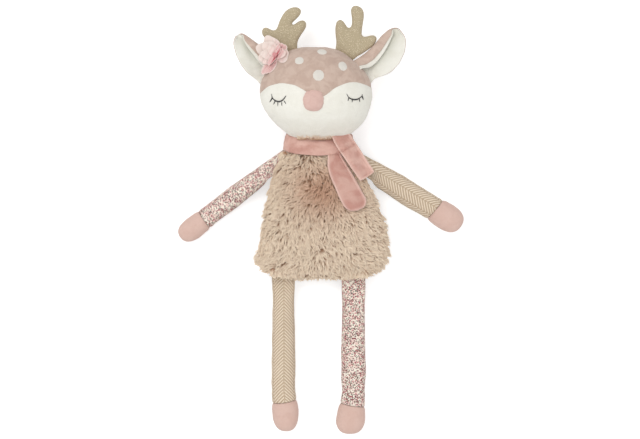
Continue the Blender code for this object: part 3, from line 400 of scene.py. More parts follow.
def castOnto(bm, surface, centre, reach=0.3):
    for vert in bm.verts:
        for nudge in (0, 0.03, -0.03, 0.06):  # a ray that slips through a seam is tried again beside it
            ray = (vert.co.normalized() + Vector((0, 0, nudge))).normalized()
            hit = surface.ray_cast(centre + ray * reach, -ray)[0]
            if hit and (hit - centre).dot(ray) > 0:
                break
        vert.co = hit if hit else centre + vert.co * 5 * mm
    return bm


def swell(bm, held, pressure, slack, most):
    # The stuffing presses on the cloth: a coarse copy, held along its seams, is simulated as cloth under
    # pressure, and the fine shape follows it by at most this much
    scene, ball = bpy.context.scene, bpy.data.objects.new("swell", bpy.data.meshes.new("swell"))
    bm.to_mesh(ball.data)
    scene.collection.objects.link(ball)
    grid = ball.modifiers.new("grid", "REMESH")
    grid.mode, grid.voxel_size = "VOXEL", 5 * mm
    bpy.context.view_layer.update()
    start = bpy.data.meshes.new_from_object(ball.evaluated_get(bpy.context.evaluated_depsgraph_get()))
    ball.modifiers.clear()
    ball.data = start
    ball.vertex_groups.new(name="seams").add([v.index for v in start.vertices if held(v.co)], 1.0, "REPLACE")
    cloth = ball.modifiers.new("cloth", "CLOTH").settings
    cloth.use_pressure, cloth.uniform_pressure_force, cloth.vertex_group_mass = True, pressure, "seams"
    cloth.effector_weights.gravity, cloth.shrink_min, cloth.bending_stiffness = 0, -slack, 0.05
    for step in range(1, 21):
        scene.frame_set(step)
    ended = ball.evaluated_get(bpy.context.evaluated_depsgraph_get()).data
    moves = [after.co - before.co for after, before in zip(ended.vertices, start.vertices)]
    tree = KDTree(len(moves))
    for vert in start.vertices:
        tree.insert(vert.co, vert.index)
    tree.balance()
    for vert in bm.verts:
        near = tree.find_n(vert.co, 8)
        weights = [1 / (away + mm) ** 2 for _, _, away in near]
        move = sum((moves[i] * weight for (_, i, _), weight in zip(near, weights)), Vector()) / sum(weights)
        if move.length > 0:
            vert.co += move.normalized() * most * math.tanh(move.length / most)
    bpy.data.objects.remove(ball)
    scene.frame_set(1)
    print("cloth simulated: furthest move %.1f mm" % (max(move.length for move in moves) / mm))


def cutAway(bm, height, keepAbove):
    # Cuts along a curved line: the shape is shifted until the line is flat, cut, and shifted back
    for vert in bm.verts:
        vert.co.z -= height(vert.co.x, vert.co.y)
    bmesh.ops.bisect_plane(
        bm, geom=bm.verts[:] + bm.edges[:] + bm.faces[:], dist=1e-7, plane_no=(0, 0, 1),
        clear_inner=keepAbove, clear_outer=not keepAbove,
    )
    for vert in bm.verts:
        vert.co.z += height(vert.co.x, vert.co.y)


# Head: one stuffed ball, cut into the crown, the face and the back along their seams
head = {
    "centre": Vector((-2.0, 113.0, 33.0)) * mm,
    "left": -53.7 * mm,
    "bottom": 68.1 * mm,
    "length": 87.3 * mm,
    "half": 53.7 * mm,
    "rim": 34.0 * mm,  # height of the side seam, and how far and how soon it drops towards the chin
    "rimDrop": 8.5 * mm,
    "rimDropAt": 0.34,
    # where the face meets the crown: place across and along, in shares of the head
    "faceLine": (
        (-1.02, 0.49), (-0.88, 0.565), (-0.65, 0.597), (-0.40, 0.57), (-0.21, 0.50), (0.0, 0.42),
        (0.13, 0.46), (0.285, 0.543), (0.52, 0.602), (0.67, 0.607), (0.90, 0.565), (1.02, 0.51),
    ),
    "seamDip": 0.8 * mm,
    "seamReach": 2.0 * mm,
    "cloth": 1.2 * mm,
    "held": 4.0 * mm,  # cloth this near a seam does not swell
    "pressure": 40.0,
    "slack": 0.03,  # how much larger the cloth is cut than the ball it covers
    "swell": 1.1 * mm,
}
faceTable = np.array(head["faceLine"])
faceRun = np.linspace(-1.02, 1.02, 205)
faceRise = np.interp(faceRun, faceTable[:, 0], faceTable[:, 1])
for _ in range(40):  # rounds the corners of the listed line
    faceRise[1:-1] = (faceRise[:-2] + 2 * faceRise[1:-1] + faceRise[2:]) / 4


def faceLineAt(x):
    return head["bottom"] + head["length"] * float(np.interp(x / head["half"], faceRun, faceRise))


def rimAt(x, y):
    share = (y - head["bottom"]) / head["length"]
    return head["rim"] - head["rimDrop"] * max(0.0, 1 - share / head["rimDropAt"]) ** 2


def seamNear(place):
    x, y, z = place
    return abs(z - rimAt(x, y)) < head["held"] or z > rimAt(x, y) and abs(y - faceLineAt(x)) < head["held"]


def makeHead():
    whole = castOnto(quadBall(80), surfaceOf("crown_panel", "face_panel", "head_back_panel"), head["centre"])
    smooth(whole, 40)
    swell(whole, seamNear, head["pressure"], head["slack"], head["swell"])
    whole.normal_update()
    for vert in whole.verts:
        x, y, z = vert.co
        rise = y - faceLineAt(x)
        slope = (faceLineAt(x + mm) - faceLineAt(x - mm)) / (2 * mm)
        fromFace = abs(rise) / math.sqrt(1 + slope * slope) if z > rimAt(x, y) else 1.0
        fromRim = abs(z - rimAt(x, y))
        dip = math.exp(-((fromFace / head["seamReach"]) ** 2)) * 0.7
        dip = max(dip, math.exp(-((fromRim / head["seamReach"]) ** 2)))
        pucker = 0.16 * mm * softNoise.noise(vert.co * 260)
        lump = 0.35 * mm * softNoise.noise(vert.co * 45)
        vert.co += vert.normal * (pucker + lump - dip * head["seamDip"])
        vert.co.z = max(vert.co.z, 0.3 * mm)
    back = whole.copy()
    cutAway(back, rimAt, False)
    cutAway(whole, rimAt, True)
    face = whole.copy()
    for part, above in ((face, False), (whole, True)):
        bmesh.ops.rotate(part, verts=part.verts[:], cent=(0, 0, 0), matrix=Matrix.Rotation(math.pi / 2, 3, "X"))
        cutAway(part, lambda x, y: faceLineAt(x), above)  # turned so that up the face is +Z
        bmesh.ops.rotate(part, verts=part.verts[:], cent=(0, 0, 0), matrix=Matrix.Rotation(-math.pi / 2, 3, "X"))
    surface = BVHTree.FromBMesh(quickJoin(back, whole, face))
    pieces = (("crown", whole, "mauveVelour", "crown_panel"), ("face", face, "creamVelour", "face_panel"),
              ("headBack", back, "mauveVelour", "head_back_panel"))
    for name, part, finish, node in pieces:
        thicken(addPiece(name, part, finish, "head", [node]), head["cloth"])
    print("head made")
    return surface


def quickJoin(*parts):
    joined = bmesh.new()
    for part in parts:
        data = bpy.data.meshes.new("part")
        part.to_mesh(data)
        joined.from_mesh(data)
        bpy.data.meshes.remove(data)
    return joined


def onHead(surface, x, y, lift=0.0):
    hit, normal, *_ = surface.ray_cast(Vector((x, y, 0.2)), Vector((0, 0, -1)))
    return hit + normal * lift, normal


# Nose and forehead spots: domed velour pads that follow the head, sizes and places in mm
pads = (
    {"name": "nose", "node": "nose", "finish": "noseVelour", "at": (-4.72, 103.3), "size": (19.0, 19.5),
     "rise": 3.6, "turn": 0, "square": 2.5, "fuzz": 0.25, "scallop": 0.025},
    {"name": "spotMiddle", "node": "spot_middle", "finish": "spotFelt", "at": (0.0, 126.8), "size": (10.5, 10.5),
     "rise": 0.9, "turn": 0, "square": 2.1, "fuzz": 0.35},
    {"name": "spotLeft", "node": "spot_left", "finish": "spotFelt", "at": (-17.8, 140.8), "size": (8.4, 7.1),
     "rise": 0.8, "turn": 8, "square": 2.2, "fuzz": 0.35},
    {"name": "spotRight", "node": "spot_right", "finish": "spotFelt", "at": (22.5, 135.7), "size": (7.6, 9.2),
     "rise": 0.8, "turn": 35, "square": 2.3, "fuzz": 0.35},
    {"name": "spotTop", "node": "spot_top", "finish": "spotFelt", "at": (3.3, 149.3), "size": (9.2, 5.4),
     "rise": 0.8, "turn": -8, "square": 2.1, "fuzz": 0.35},
)


def makePads(surface):
    for pad in pads:
        bm = quadBall(14)
        cosine, sine = math.cos(math.radians(pad["turn"])), math.sin(math.radians(pad["turn"]))
        for vert in bm.verts:
            x, y, z = vert.co
            power = pad["square"]
            flat = math.hypot(x, y)
            grow = flat / max((abs(x) ** power + abs(y) ** power) ** (1 / power), 1e-6) if flat > 1e-6 else 1.0
            edge = 1 + pad["fuzz"] * 0.12 * softNoise.noise(Vector((x, y, 0)) * 4 + Vector(pad["at"] + (0,)))
            if y > 0:
                edge += pad.get("scallop", 0) * math.sin(9 * math.atan2(y, x)) * flat
            across, along = x * pad["size"][0] / 2 * grow * edge, y * pad["size"][1] / 2 * grow * edge
            px = pad["at"][0] + across * cosine - along * sine
            py = pad["at"][1] + across * sine + along * cosine
            lump = 0.12 * pad["fuzz"] * softNoise.noise(Vector((px, py, z)) * 0.9)
            vert.co = onHead(surface, px * mm, py * mm, (max(z, -0.25) * pad["rise"] + lump - 0.2) * mm)[0]
        bmesh.ops.recalc_face_normals(bm, faces=bm.faces[:])
        addPiece(pad["name"], bm, pad["finish"], "head", [pad["node"]])
    print("nose and spots made")


# Stitched eyelids: an arc and its lashes in dark thread, points in mm
eyelids = {
    "thread": 0.62 * mm,
    "sides": {
        "eyelidLeft": {
            "node": "eyelid_left",
            "arc": ((-43.4, 107.2), (-40.6, 103.7), (-36.5, 102.4), (-32.8, 103.9), (-30.0, 107.9)),
            "lashes": (((-42.8, 106.1), (-45.2, 102.6), 1.3), ((-40.2, 103.2), (-41.7, 100.3), 1.0),
                       ((-37.6, 102.0), (-37.6, 98.5), 0.8), ((-34.1, 102.0), (-33.8, 98.9), 0.8),
                       ((-31.7, 103.2), (-30.0, 100.3), 0.9), ((-42.8, 106.7), (-43.7, 110.2), 0.8)),
        },
        "eyelidRight": {
            "node": "eyelid_right",
            "arc": ((27.2, 107.2), (30.2, 104.9), (33.7, 104.4), (37.2, 105.2), (40.1, 107.9)),
            "lashes": (((28.1, 106.1), (27.2, 103.2), 0.9), ((31.3, 104.7), (31.1, 102.0), 0.8),
                       ((37.8, 105.2), (38.3, 102.6), 0.9), ((40.5, 107.9), (41.6, 104.7), 1.3),
                       ((27.6, 106.7), (26.1, 109.9), 0.7), ((40.3, 107.2), (40.5, 109.9), 0.8)),
        },
    },
}


def meshFromCurve(name, splines, depth, profile=None, resolution=2):
    # splines: rows of (points, radii); a curve with a bevel is turned into a mesh
    curve = bpy.data.curves.new(name, "CURVE")
    curve.dimensions = "3D"
    curve.use_fill_caps = True
    curve.twist_mode = "Z_UP"
    if profile:
        curve.bevel_mode = "OBJECT"
        curve.bevel_object = profile
    else:
        curve.bevel_depth = depth
        curve.bevel_resolution = resolution
    for points, radii in splines:
        spline = curve.splines.new("POLY")
        spline.points.add(len(points) - 1)
        rows = np.ones((len(points), 4))
        rows[:, :3] = points
        spline.points.foreach_set("co", rows.ravel())
        spline.points.foreach_set("radius", radii)
    holder = bpy.data.objects.new(name, curve)
    bpy.context.scene.collection.objects.link(holder)
    bpy.context.view_layer.update()
    mesh = bpy.data.meshes.new_from_object(holder.evaluated_get(bpy.context.evaluated_depsgraph_get()))
    bpy.data.objects.remove(holder)
    bpy.data.curves.remove(curve)
    return mesh


def makeEyelids(surface):
    for name, eye in eyelids["sides"].items():
        splines = []
        steps = np.linspace(0, 1, 15)
        keys = np.linspace(0, 1, len(eye["arc"]))
        smoothX = np.interp(steps, keys, [p[0] for p in eye["arc"]])
        smoothY = np.interp(steps, keys, [p[1] for p in eye["arc"]])
        for _ in range(3):
            smoothX[1:-1] = (smoothX[:-2] + 2 * smoothX[1:-1] + smoothX[2:]) / 4
            smoothY[1:-1] = (smoothY[:-2] + 2 * smoothY[1:-1] + smoothY[2:]) / 4
        points = [onHead(surface, x * mm, y * mm, 0.15 * mm)[0] for x, y in zip(smoothX, smoothY)]
        swell = [0.55 + 0.6 * math.sin(math.pi * step) for step in steps]
        splines.append((points, swell))
        for start, end, weight in eye["lashes"]:
            points = []
            for step in np.linspace(0, 1, 5):
                x = start[0] + (end[0] - start[0]) * step
                y = start[1] + (end[1] - start[1]) * step
                points.append(onHead(surface, x * mm, y * mm, 0.12 * mm)[0])
            splines.append((points, [weight * w for w in (0.8, 0.85, 0.75, 0.6, 0.35)]))
        mesh = meshFromCurve(name, splines, eyelids["thread"])
        addPiece(name, mesh, "darkThread", "head", [eye["node"]])
    print("eyelids made")


headSurface = makeHead()
makePads(headSurface)
makeEyelids(headSurface)


# Arms and legs: a rolled cloth sleeve and a velour mitt, limp and flat underneath, lengths in mm
limbForm = {
    "thick": ((0.0, 0.06), (0.04, 0.16), (0.10, 0.42), (0.20, 0.78), (0.32, 0.97), (0.45, 1.0), (0.78, 1.0),
              (0.86, 1.05), (1.0, 1.05)),
    "height": ((0.0, 1.0), (0.08, 0.86), (0.18, 0.5), (0.3, 0.17), (0.42, 0.0), (1.0, 0.0)),
    "armWide": ((0.0, 0.70), (0.1, 0.80), (0.22, 0.94), (0.35, 1.0), (0.46, 1.03), (0.58, 0.98), (0.70, 0.99),
                (0.78, 1.08), (0.87, 1.13), (1.0, 1.12)),
    "leftLegWide": ((0.0, 1.03), (0.1, 0.96), (0.165, 0.94), (0.3, 1.02), (0.45, 1.03), (0.59, 1.05), (0.73, 1.06),
                    (0.79, 1.10), (0.85, 1.17), (0.93, 1.15), (1.0, 1.12)),
    "rightLegWide": ((0.0, 1.03), (0.165, 1.0), (0.3, 0.98), (0.45, 1.05), (0.59, 1.06), (0.72, 0.98), (0.78, 1.06),
                     (0.84, 1.17), (0.9, 1.27), (1.0, 1.30)),
    "toeShift": ((0.0, 0.0), (0.74, 0.0), (0.85, 0.6), (1.0, 1.0)),
    "columns": 48,
    "rootReach": 24.0,
    "seamDip": 0.9,
    "seamReach": 1.5,
    "dent": 0.55,
    "wrinkle": 0.25,
    "cloth": 0.8,
    "rest": 0.35,
}
limbs = (
    {"name": "leftArm", "mitt": "leftHand", "body": "left_arm", "nodes": ("left_arm", "left_hand"),
     "root": (-40.72, 44.77, 21.4), "seam": (-0.4153, -0.9097), "turn": 217.4, "width": 19.2, "thick": 17,
     "length": 112.9, "sleeve": 84.5, "slant": 0.4, "bow": 0.5, "wide": "armWide", "round": 0.85, "power": 2.4,
     "toe": 0, "finish": "ditsyPrint"},
    {"name": "rightArm", "mitt": "rightHand", "body": "right_arm", "nodes": ("right_arm", "right_hand"),
     "root": (41.8, 44.63, 21.4), "seam": (-0.4478, 0.8941), "turn": -31.6, "width": 23.2, "thick": 17,
     "length": 109.4, "sleeve": 80.0, "slant": 1.6, "bow": 0.5, "wide": "armWide", "round": 0.83, "power": 2.4,
     "toe": 0, "finish": "armHerringbone"},
    {"name": "leftLeg", "mitt": "leftFoot", "body": "left_leg", "nodes": ("left_leg", "left_foot"),
     "root": (-33.0, -64.65, 18.0), "seam": (1.0, 0.0), "turn": -90, "width": 21.2, "thick": 19,
     "length": 141.8, "sleeve": 113.5, "slant": -1.6, "bow": 1.2, "wide": "leftLegWide", "round": 0.87,
     "power": 2.6, "toe": 2.4, "finish": "legHerringbone"},
    {"name": "rightLeg", "mitt": "rightFoot", "body": "right_leg", "nodes": ("right_leg", "right_foot"),
     "root": (33.0, -64.65, 18.0), "seam": (1.0, 0.0), "turn": -90, "width": 21.8, "thick": 19,
     "length": 144.3, "sleeve": 117.0, "slant": 1.8, "bow": 0.6, "wide": "rightLegWide", "round": 0.87,
     "power": 2.7, "toe": -3.4, "finish": "ditsyPrint"},
)


def seamAt(limb, around):
    # Where the mitt's seam lies: slanted across the limb and bowed
    side = math.cos(2 * math.pi * around)
    return limb["sleeve"] + limb["slant"] * side + limb["bow"] * (1 - side * side)


def limbPoint(limb, distance, around):
    share = min(max(distance / limb["length"], 0.0), 1.0)
    turn = math.radians(limb["turn"])
    ahead = Vector((math.cos(turn), math.sin(turn), 0))
    aside = Vector((-math.sin(turn), math.cos(turn), 0))
    seam = Vector(limb["seam"] + (0,))
    rounding = max((share - limb["round"]) / (1 - limb["round"]), 0.0)
    rounding = max(1 - rounding ** limb["power"], 0.0) ** (1 / limb["power"])
    half = limb["width"] / 2 * valueAt(limbForm[limb["wide"]], share) * rounding
    full = limb["thick"] / 2
    deep = full * valueAt(limbForm["thick"], share) * rounding
    dip = limbForm["seamDip"] * math.exp(-(((distance - seamAt(limb, around)) / limbForm["seamReach"]) ** 2))
    half, deep = max(half - dip * rounding, 0.0), max(deep - dip * rounding, 0.0)
    twist = min(max(distance, 0) / limbForm["rootReach"], 1.0)
    twist = twist * twist * (3 - 2 * twist)
    across = seam.lerp(aside, twist).normalized()
    half /= max(abs(across.dot(aside)), 0.2)
    middle = full - 0.5
    at = Vector(limb["root"]) + ahead * distance
    at.x += limb["toe"] * valueAt(limbForm["toeShift"], share)
    at.z = middle + (limb["root"][2] - middle) * valueAt(limbForm["height"], share)
    angle = 2 * math.pi * around
    side = across * (half * math.cos(angle)) + Vector((0, 0, deep * math.sin(angle)))
    place = (at + side) / 16
    swell = limbForm["dent"] * softNoise.noise(place) * min(share * 5, 1.0) * rounding
    folds = Vector((place.x * 3, place.y * 3, place.z))
    swell += limbForm["wrinkle"] * softNoise.noise(folds) * rounding
    if side.length > 1e-6:
        side += side.normalized() * swell
    at += side
    at.z = max(at.z, limbForm["rest"])
    return at * mm


def rollCloth(limb, start, end, rows, spacing):
    columns = limbForm["columns"]
    bm = bmesh.new()
    layer = bm.loops.layers.uv.new("cloth")
    bmesh.ops.create_grid(bm, x_segments=columns, y_segments=rows, size=0.5)
    girth = math.pi * (limb["width"] + limb["thick"]) / 2 * mm
    places = {}
    for vert in bm.verts:
        around = vert.co.x + 0.5
        first, last = start(around), end(around)
        along = first + (last - first) * spacing(vert.co.y + 0.5)
        places[vert] = (around, along)
        vert.co = limbPoint(limb, along, around)
    for face in bm.faces:
        for loop in face.loops:
            around, along = places[loop.vert]
            loop[layer].uv = ((around - 0.25) * girth, along * mm)
    bmesh.ops.remove_doubles(bm, verts=bm.verts[:], dist=1e-6)
    bmesh.ops.recalc_face_normals(bm, faces=bm.faces[:])
    return bm


def makeLimbs():
    for limb in limbs:
        sleeve = rollCloth(limb, lambda a: -4.5, lambda a: seamAt(limb, a) - 0.1, 110, lambda row: row)
        mitt = rollCloth(limb, lambda a: seamAt(limb, a) + 0.1, lambda a: limb["length"], 34,
                         lambda row: math.sin(math.pi / 2 * row))
        sewn = addPiece(limb["name"], sleeve, limb["finish"], limb["body"], [limb["nodes"][0]])
        thicken(sewn, limbForm["cloth"] * mm)
        thicken(addPiece(limb["mitt"], mitt, "pinkVelour", limb["body"], [limb["nodes"][1]]), limbForm["cloth"] * mm)
    print("limbs made")


makeLimbs()


# Antlers: the stuffed linen shapes, remeshed fine and pinched along the seam
antlers = {
    "voxel": 0.9 * mm,
    "seamHeight": 34 * mm,
    "seamDip": 0.5 * mm,
    "root": 4.5 * mm,  # how far the sewn end runs on into the head
    "pieces": (
        {"name": "leftAntler", "body": "left_antler", "node": "left_antler",
         "at": (-29.0, 151.65), "out": (-0.4197, 0.9077)},
        {"name": "rightAntler", "body": "right_antler", "node": "right_antler",
         "at": (25.23, 149.43), "out": (0.5441, 0.839)},
    ),
}


def remeshed(name, nodeNames, voxel):
    joined = bmesh.new()
    for node in nodeNames:
        joined.from_mesh(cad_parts[node].data)
    bmesh.ops.remove_doubles(joined, verts=joined.verts[:], dist=1e-6)
    data = bpy.data.meshes.new(name)
    joined.to_mesh(data)
    joined.free()
    holder = bpy.data.objects.new(name, data)
    bpy.context.scene.collection.objects.link(holder)
    grid = holder.modifiers.new("grid", "REMESH")
    grid.mode = "VOXEL"
    grid.voxel_size = voxel
    bpy.context.view_layer.update()
    made = bpy.data.meshes.new_from_object(holder.evaluated_get(bpy.context.evaluated_depsgraph_get()))
    bpy.data.objects.remove(holder)
    bm = bmesh.new()
    bm.from_mesh(made)
    bpy.data.meshes.remove(made)
    bpy.data.meshes.remove(data)
    return keepOuter(bm)


def keepOuter(bm):
    # The remesh also keeps shells inside; only the one with the widest box stays
    left, islands = set(bm.verts), []
    while left:
        stack, island = [left.pop()], []
        while stack:
            vert = stack.pop()
            island.append(vert)
            for edge in vert.link_edges:
                other = edge.other_vert(vert)
                if other in left:
                    left.remove(other)
                    stack.append(other)
        islands.append(island)
    islands.sort(key=lambda group: max(v.co.x for v in group) - min(v.co.x for v in group))
    for island in islands[:-1]:
        bmesh.ops.delete(bm, geom=island, context="VERTS")
    return bm


def makeAntlers():
    for antler in antlers["pieces"]:
        parts = [antler["node"] + ending for ending in ("_front", "_back", "_filling")]
        bm = remeshed(antler["name"], parts, antlers["voxel"])
        smooth(bm, 5)
        bm.normal_update()
        for vert in bm.verts:
            near = math.exp(-(((vert.co.z - antlers["seamHeight"]) / (0.8 * mm)) ** 2))
            lump = 0.25 * mm * softNoise.noise(vert.co * 130)
            vert.co += vert.normal * (0.3 * mm + lump - near * antlers["seamDip"])
        out = Vector(antler["out"] + (0,))
        for vert in bm.verts:
            past = 1 - (vert.co - Vector(antler["at"] + (0,)) * mm).dot(out) / antlers["root"]
            if past > 0:
                vert.co -= out * antlers["root"] * past * past
        addPiece(antler["name"], bm, "glitterLinen", antler["body"], parts[:2])
    print("antlers made")


makeAntlers()


# Stuffing: the loose fibre inside each skin, a little smaller than its CAD solid
stuffing = {
    "headWadding": ("head", "head_filling"), "torsoWadding": ("torso", "torso_filling"),
    "leftArmWadding": ("left_arm", "left_arm_filling"), "rightArmWadding": ("right_arm", "right_arm_filling"),
    "leftLegWadding": ("left_leg", "left_leg_filling"), "rightLegWadding": ("right_leg", "right_leg_filling"),
    "leftAntlerWadding": ("left_antler", "left_antler_filling"),
    "rightAntlerWadding": ("right_antler", "right_antler_filling"),
}


def makeStuffing():
    for name, (body, node) in stuffing.items():
        bm = bmesh.new()
        bm.from_mesh(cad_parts[node].data)
        bmesh.ops.remove_doubles(bm, verts=bm.verts[:], dist=1e-6)
        bm.normal_update()
        draw = (0.5 if "Antler" in name else 4.5 if name == "headWadding" else 2.0) * mm
        for vert in bm.verts:
            vert.co -= vert.normal * draw * (1 + 0.5 * softNoise.noise(vert.co * 200))
        piece = addPiece(name, bm, "wadding", body, [node])
        soft = piece.modifiers.new("soft", "SUBSURF")
        soft.levels = soft.render_levels = 1
    print("stuffing made")


makeStuffing()


def curveOf(rows, column=1, rounds=12):
    # A rounded curve through the given rows, read back by share
    run = np.linspace(rows[0][0], rows[-1][0], 161)
    rise = np.interp(run, [row[0] for row in rows], [row[column] for row in rows])
    for _ in range(rounds):
        rise[1:-1] = (rise[:-2] + 2 * rise[1:-1] + rise[2:]) / 4
    return lambda share: float(np.interp(share, run, rise))


def makeAttribute(mesh, name, values):
    layer = mesh.attributes.new(name, "FLOAT", "POINT")
    layer.data.foreach_set("value", np.asarray(values, dtype=np.float32))


def toMesh(bm, name):
    mesh = bpy.data.meshes.new(name)
    bm.to_mesh(mesh)
    bm.free()
    return mesh


# Ears: two cloths each, a mauve back and a cream lining, folded forward along the upper side
ears = {
    "foldRadius": 2.2,
    "bowl": 5.5,
    "flatShare": 0.56,
    "bendShare": 0.8,
    "fold": ((0.0, 0.75), (0.12, 0.95), (0.25, 1.0), (0.5, 1.0), (0.84, 1.0), (0.94, 0.6), (1.0, 0.2)),
    "trim": 0.62,
    "gap": 1.25,
    "cloth": 1.0,
    "columns": 44,
    "rows": 60,
    "sides": (
        {"name": "leftEar", "body": "left_ear", "nodes": ("left_ear_back", "left_ear_lining"),
         "at": (-48.74, 132.27, 34.0), "turn": 130.0, "side": -1, "length": 42.8, "width": 24.0, "flap": 8.5,
         "taper": ((0.0, 1.15), (0.25, 1.1), (0.5, 0.9), (0.7, 0.6), (0.86, 0.2), (0.94, 0.0), (1.0, 0.0)),
         "outline": ((0.0, 0.52, -0.48), (0.25, 0.625, -0.46), (0.46, 0.605, -0.43), (0.69, 0.50, -0.34),
                     (0.89, 0.325, -0.25), (0.97, 0.19, -0.18), (1.0, 0.03, -0.08))},
        {"name": "rightEar", "body": "right_ear", "nodes": ("right_ear_back", "right_ear_lining"),
         "at": (43.77, 132.27, 34.0), "turn": 53.8, "side": 1, "length": 50.0, "width": 29.0, "flap": 8.4,
         "taper": ((0.0, 1.5), (0.25, 1.3), (0.5, 1.05), (0.7, 0.8), (0.86, 0.4), (0.95, 0.0), (1.0, 0.0)),
         "outline": ((0.0, 0.39, -0.48), (0.11, 0.55, -0.40), (0.27, 0.70, -0.30), (0.50, 0.745, -0.235),
                     (0.72, 0.67, -0.215), (0.88, 0.51, -0.15), (0.96, 0.36, -0.06), (1.0, 0.06, 0.03))},
    ),
}


def earPoint(ear, along, across, lowOf, highOf, foldOf):
    low, high = lowOf(along) * ear["width"], highOf(along) * ear["width"]
    narrow = min(1.0, (low - high) / ear["width"])
    turn = math.pi * min(max(foldOf(along), 0.01), 1.0)
    bend = math.pi * ears["foldRadius"] * min(1.0, 1.5 * narrow) / turn
    flap = ear["flap"] * valueAt(ear["taper"], along)
    reach = bend if turn > math.pi / 2 else bend * math.sin(turn) + flap * math.cos(turn)
    start = high + reach
    flat, curved = ears["flatShare"], ears["bendShare"]
    if across < flat:
        x, z = low + (start - low) * across / flat, 0.0
    else:
        share = min((across - flat) / (curved - flat), 1.0)
        x = start - bend * math.sin(turn * share)
        z = bend - bend * math.cos(turn * share)
        over = max(across - curved, 0.0) / (1 - curved)
        x -= flap * over * math.cos(turn)
        z += flap * over * math.sin(turn)
    bowl = ears["bowl"] * min(1.0, max(0.0, along) * 4) * max(0.0, 1 - across / flat) ** 2
    return Vector((x, along * ear["length"], z + bowl))


def tuckedAt(path, depth=2.0 * mm):
    # How far along a path, which starts over the head, is first outside it
    inside, outside = -0.3, 0.5
    for _ in range(12):
        middle = (inside + outside) / 2
        point = path(middle)
        near, normal, *_ = headSurface.find_nearest(point)
        inside, outside = (middle, outside) if (point - near).dot(normal) < -depth else (inside, middle)
    return inside


def makeEars():
    foldOf = curveOf(ears["fold"], rounds=60)
    for ear in ears["sides"]:
        lowOf, highOf = curveOf(ear["outline"], 1, 10), curveOf(ear["outline"], 2, 10)
        pose = Matrix.Translation(Vector(ear["at"]) * mm) @ Matrix.Rotation(math.radians(ear["turn"] - 90), 4, "Z")
        if ear["side"] < 0:
            pose = pose @ Matrix.Scale(-1, 4, (1, 0, 0))
        pieces = ((ear["name"] + "Back", 1, "mauveVelour", ear["nodes"][0]),
                  (ear["name"] + "Lining", -1, "earVelour", ear["nodes"][1]))
        for name, layer, finish, node in pieces:
            bm = bmesh.new()
            bmesh.ops.create_grid(bm, x_segments=ears["columns"], y_segments=ears["rows"], size=0.5)
            edge, starts, hollowShade = {}, {}, []
            for vert in bm.verts:
                across, row = vert.co.x + 0.5, vert.co.y + 0.5
                if layer > 0 and across > ears["bendShare"]:  # the lining shows as a rim past the mauve cloth
                    across = ears["bendShare"] + (across - ears["bendShare"]) * ears["trim"]
                if round(across * 1000) not in starts:  # each column starts just inside the head
                    starts[round(across * 1000)] = tuckedAt(
                        lambda share: pose @ (earPoint(ear, share, across, lowOf, highOf, foldOf) * mm))
                start = starts[round(across * 1000)]
                along = start + (1 - start) * math.sin(math.pi / 2 * row)
                edge[vert] = min(1.0, 5 * min(across, 1 - across), 7 * (1 - row) + 0.05)
                run = math.pi * min(max(along, 0.0), 1.0)
                # Painted shade: darkest in the middle of the bowl, fading towards the base, the tip and the edges
                hollowShade.append(math.exp(-(((across - 0.42) / 0.2) ** 2)) * math.sin(run) ** 0.5)
                point = earPoint(ear, along, across, lowOf, highOf, foldOf)
                point.z += 0.8 * softNoise.noise(point / 9 + Vector((7.0, ear["side"], 0)))
                vert.co = pose @ (point * mm)
            smooth(bm, 2)
            bm.normal_update()
            facing = ear["side"]  # a mirrored ear's faces are wound the other way
            for vert in bm.verts:
                vert.co += vert.normal * layer * facing * ears["gap"] / 2 * mm * math.sqrt(edge[vert])
            mesh = toMesh(bm, name)
            makeAttribute(mesh, "rim", hollowShade)
            piece = addPiece(name, mesh, finish, ear["body"], [node])
            thicken(piece, ears["cloth"] * mm, 0.0)
    print("ears made")


makeEars()


# Flower: ruffled petals of thin cloth, with a deep crease where they are gathered
flower = {
    "at": (-39.9, 146.0, 46.5),
    "facing": (-0.2, 0.15, 1.0),
    "cloth": 0.35,
    "crease": ((-35.2, 152.6), (-43.7, 138.5)),
    "creaseWidth": 1.25,
    "creaseLength": 8.0,
    "pleat": 4.2,
    "ruffle": 0.6,
    # each petal: which way it points in degrees, reach, half width, cup and lift in mm
    "layers": (
        ("petalsOuter", "flower_outer_petals",
         ((146, 19.5, 8.5, 3.0, 0.0), (112, 19.5, 8.0, 3.0, 0.7), (192, 15.5, 7.0, 2.5, 1.0),
          (238, 21.0, 5.5, 1.5, 0.5), (48, 14.0, 5.5, 3.0, 0.2), (-4, 13.0, 6.5, 2.0, 0.8))),
        ("petalsMiddle", "flower_middle_petals",
         ((128, 15.5, 6.5, 3.5, 2.4), (172, 12.5, 5.5, 3.0, 3.0), (216, 13.0, 4.5, 2.0, 2.6),
          (18, 10.5, 5.0, 2.5, 2.4))),
        ("petalsInner", "flower_inner_petals",
         ((64, 10.0, 3.2, 2.0, 4.2), (238, 11.0, 2.8, 1.5, 4.4), (122, 9.0, 3.6, 2.5, 4.8))),
    ),
    "bud": 2.2,
}


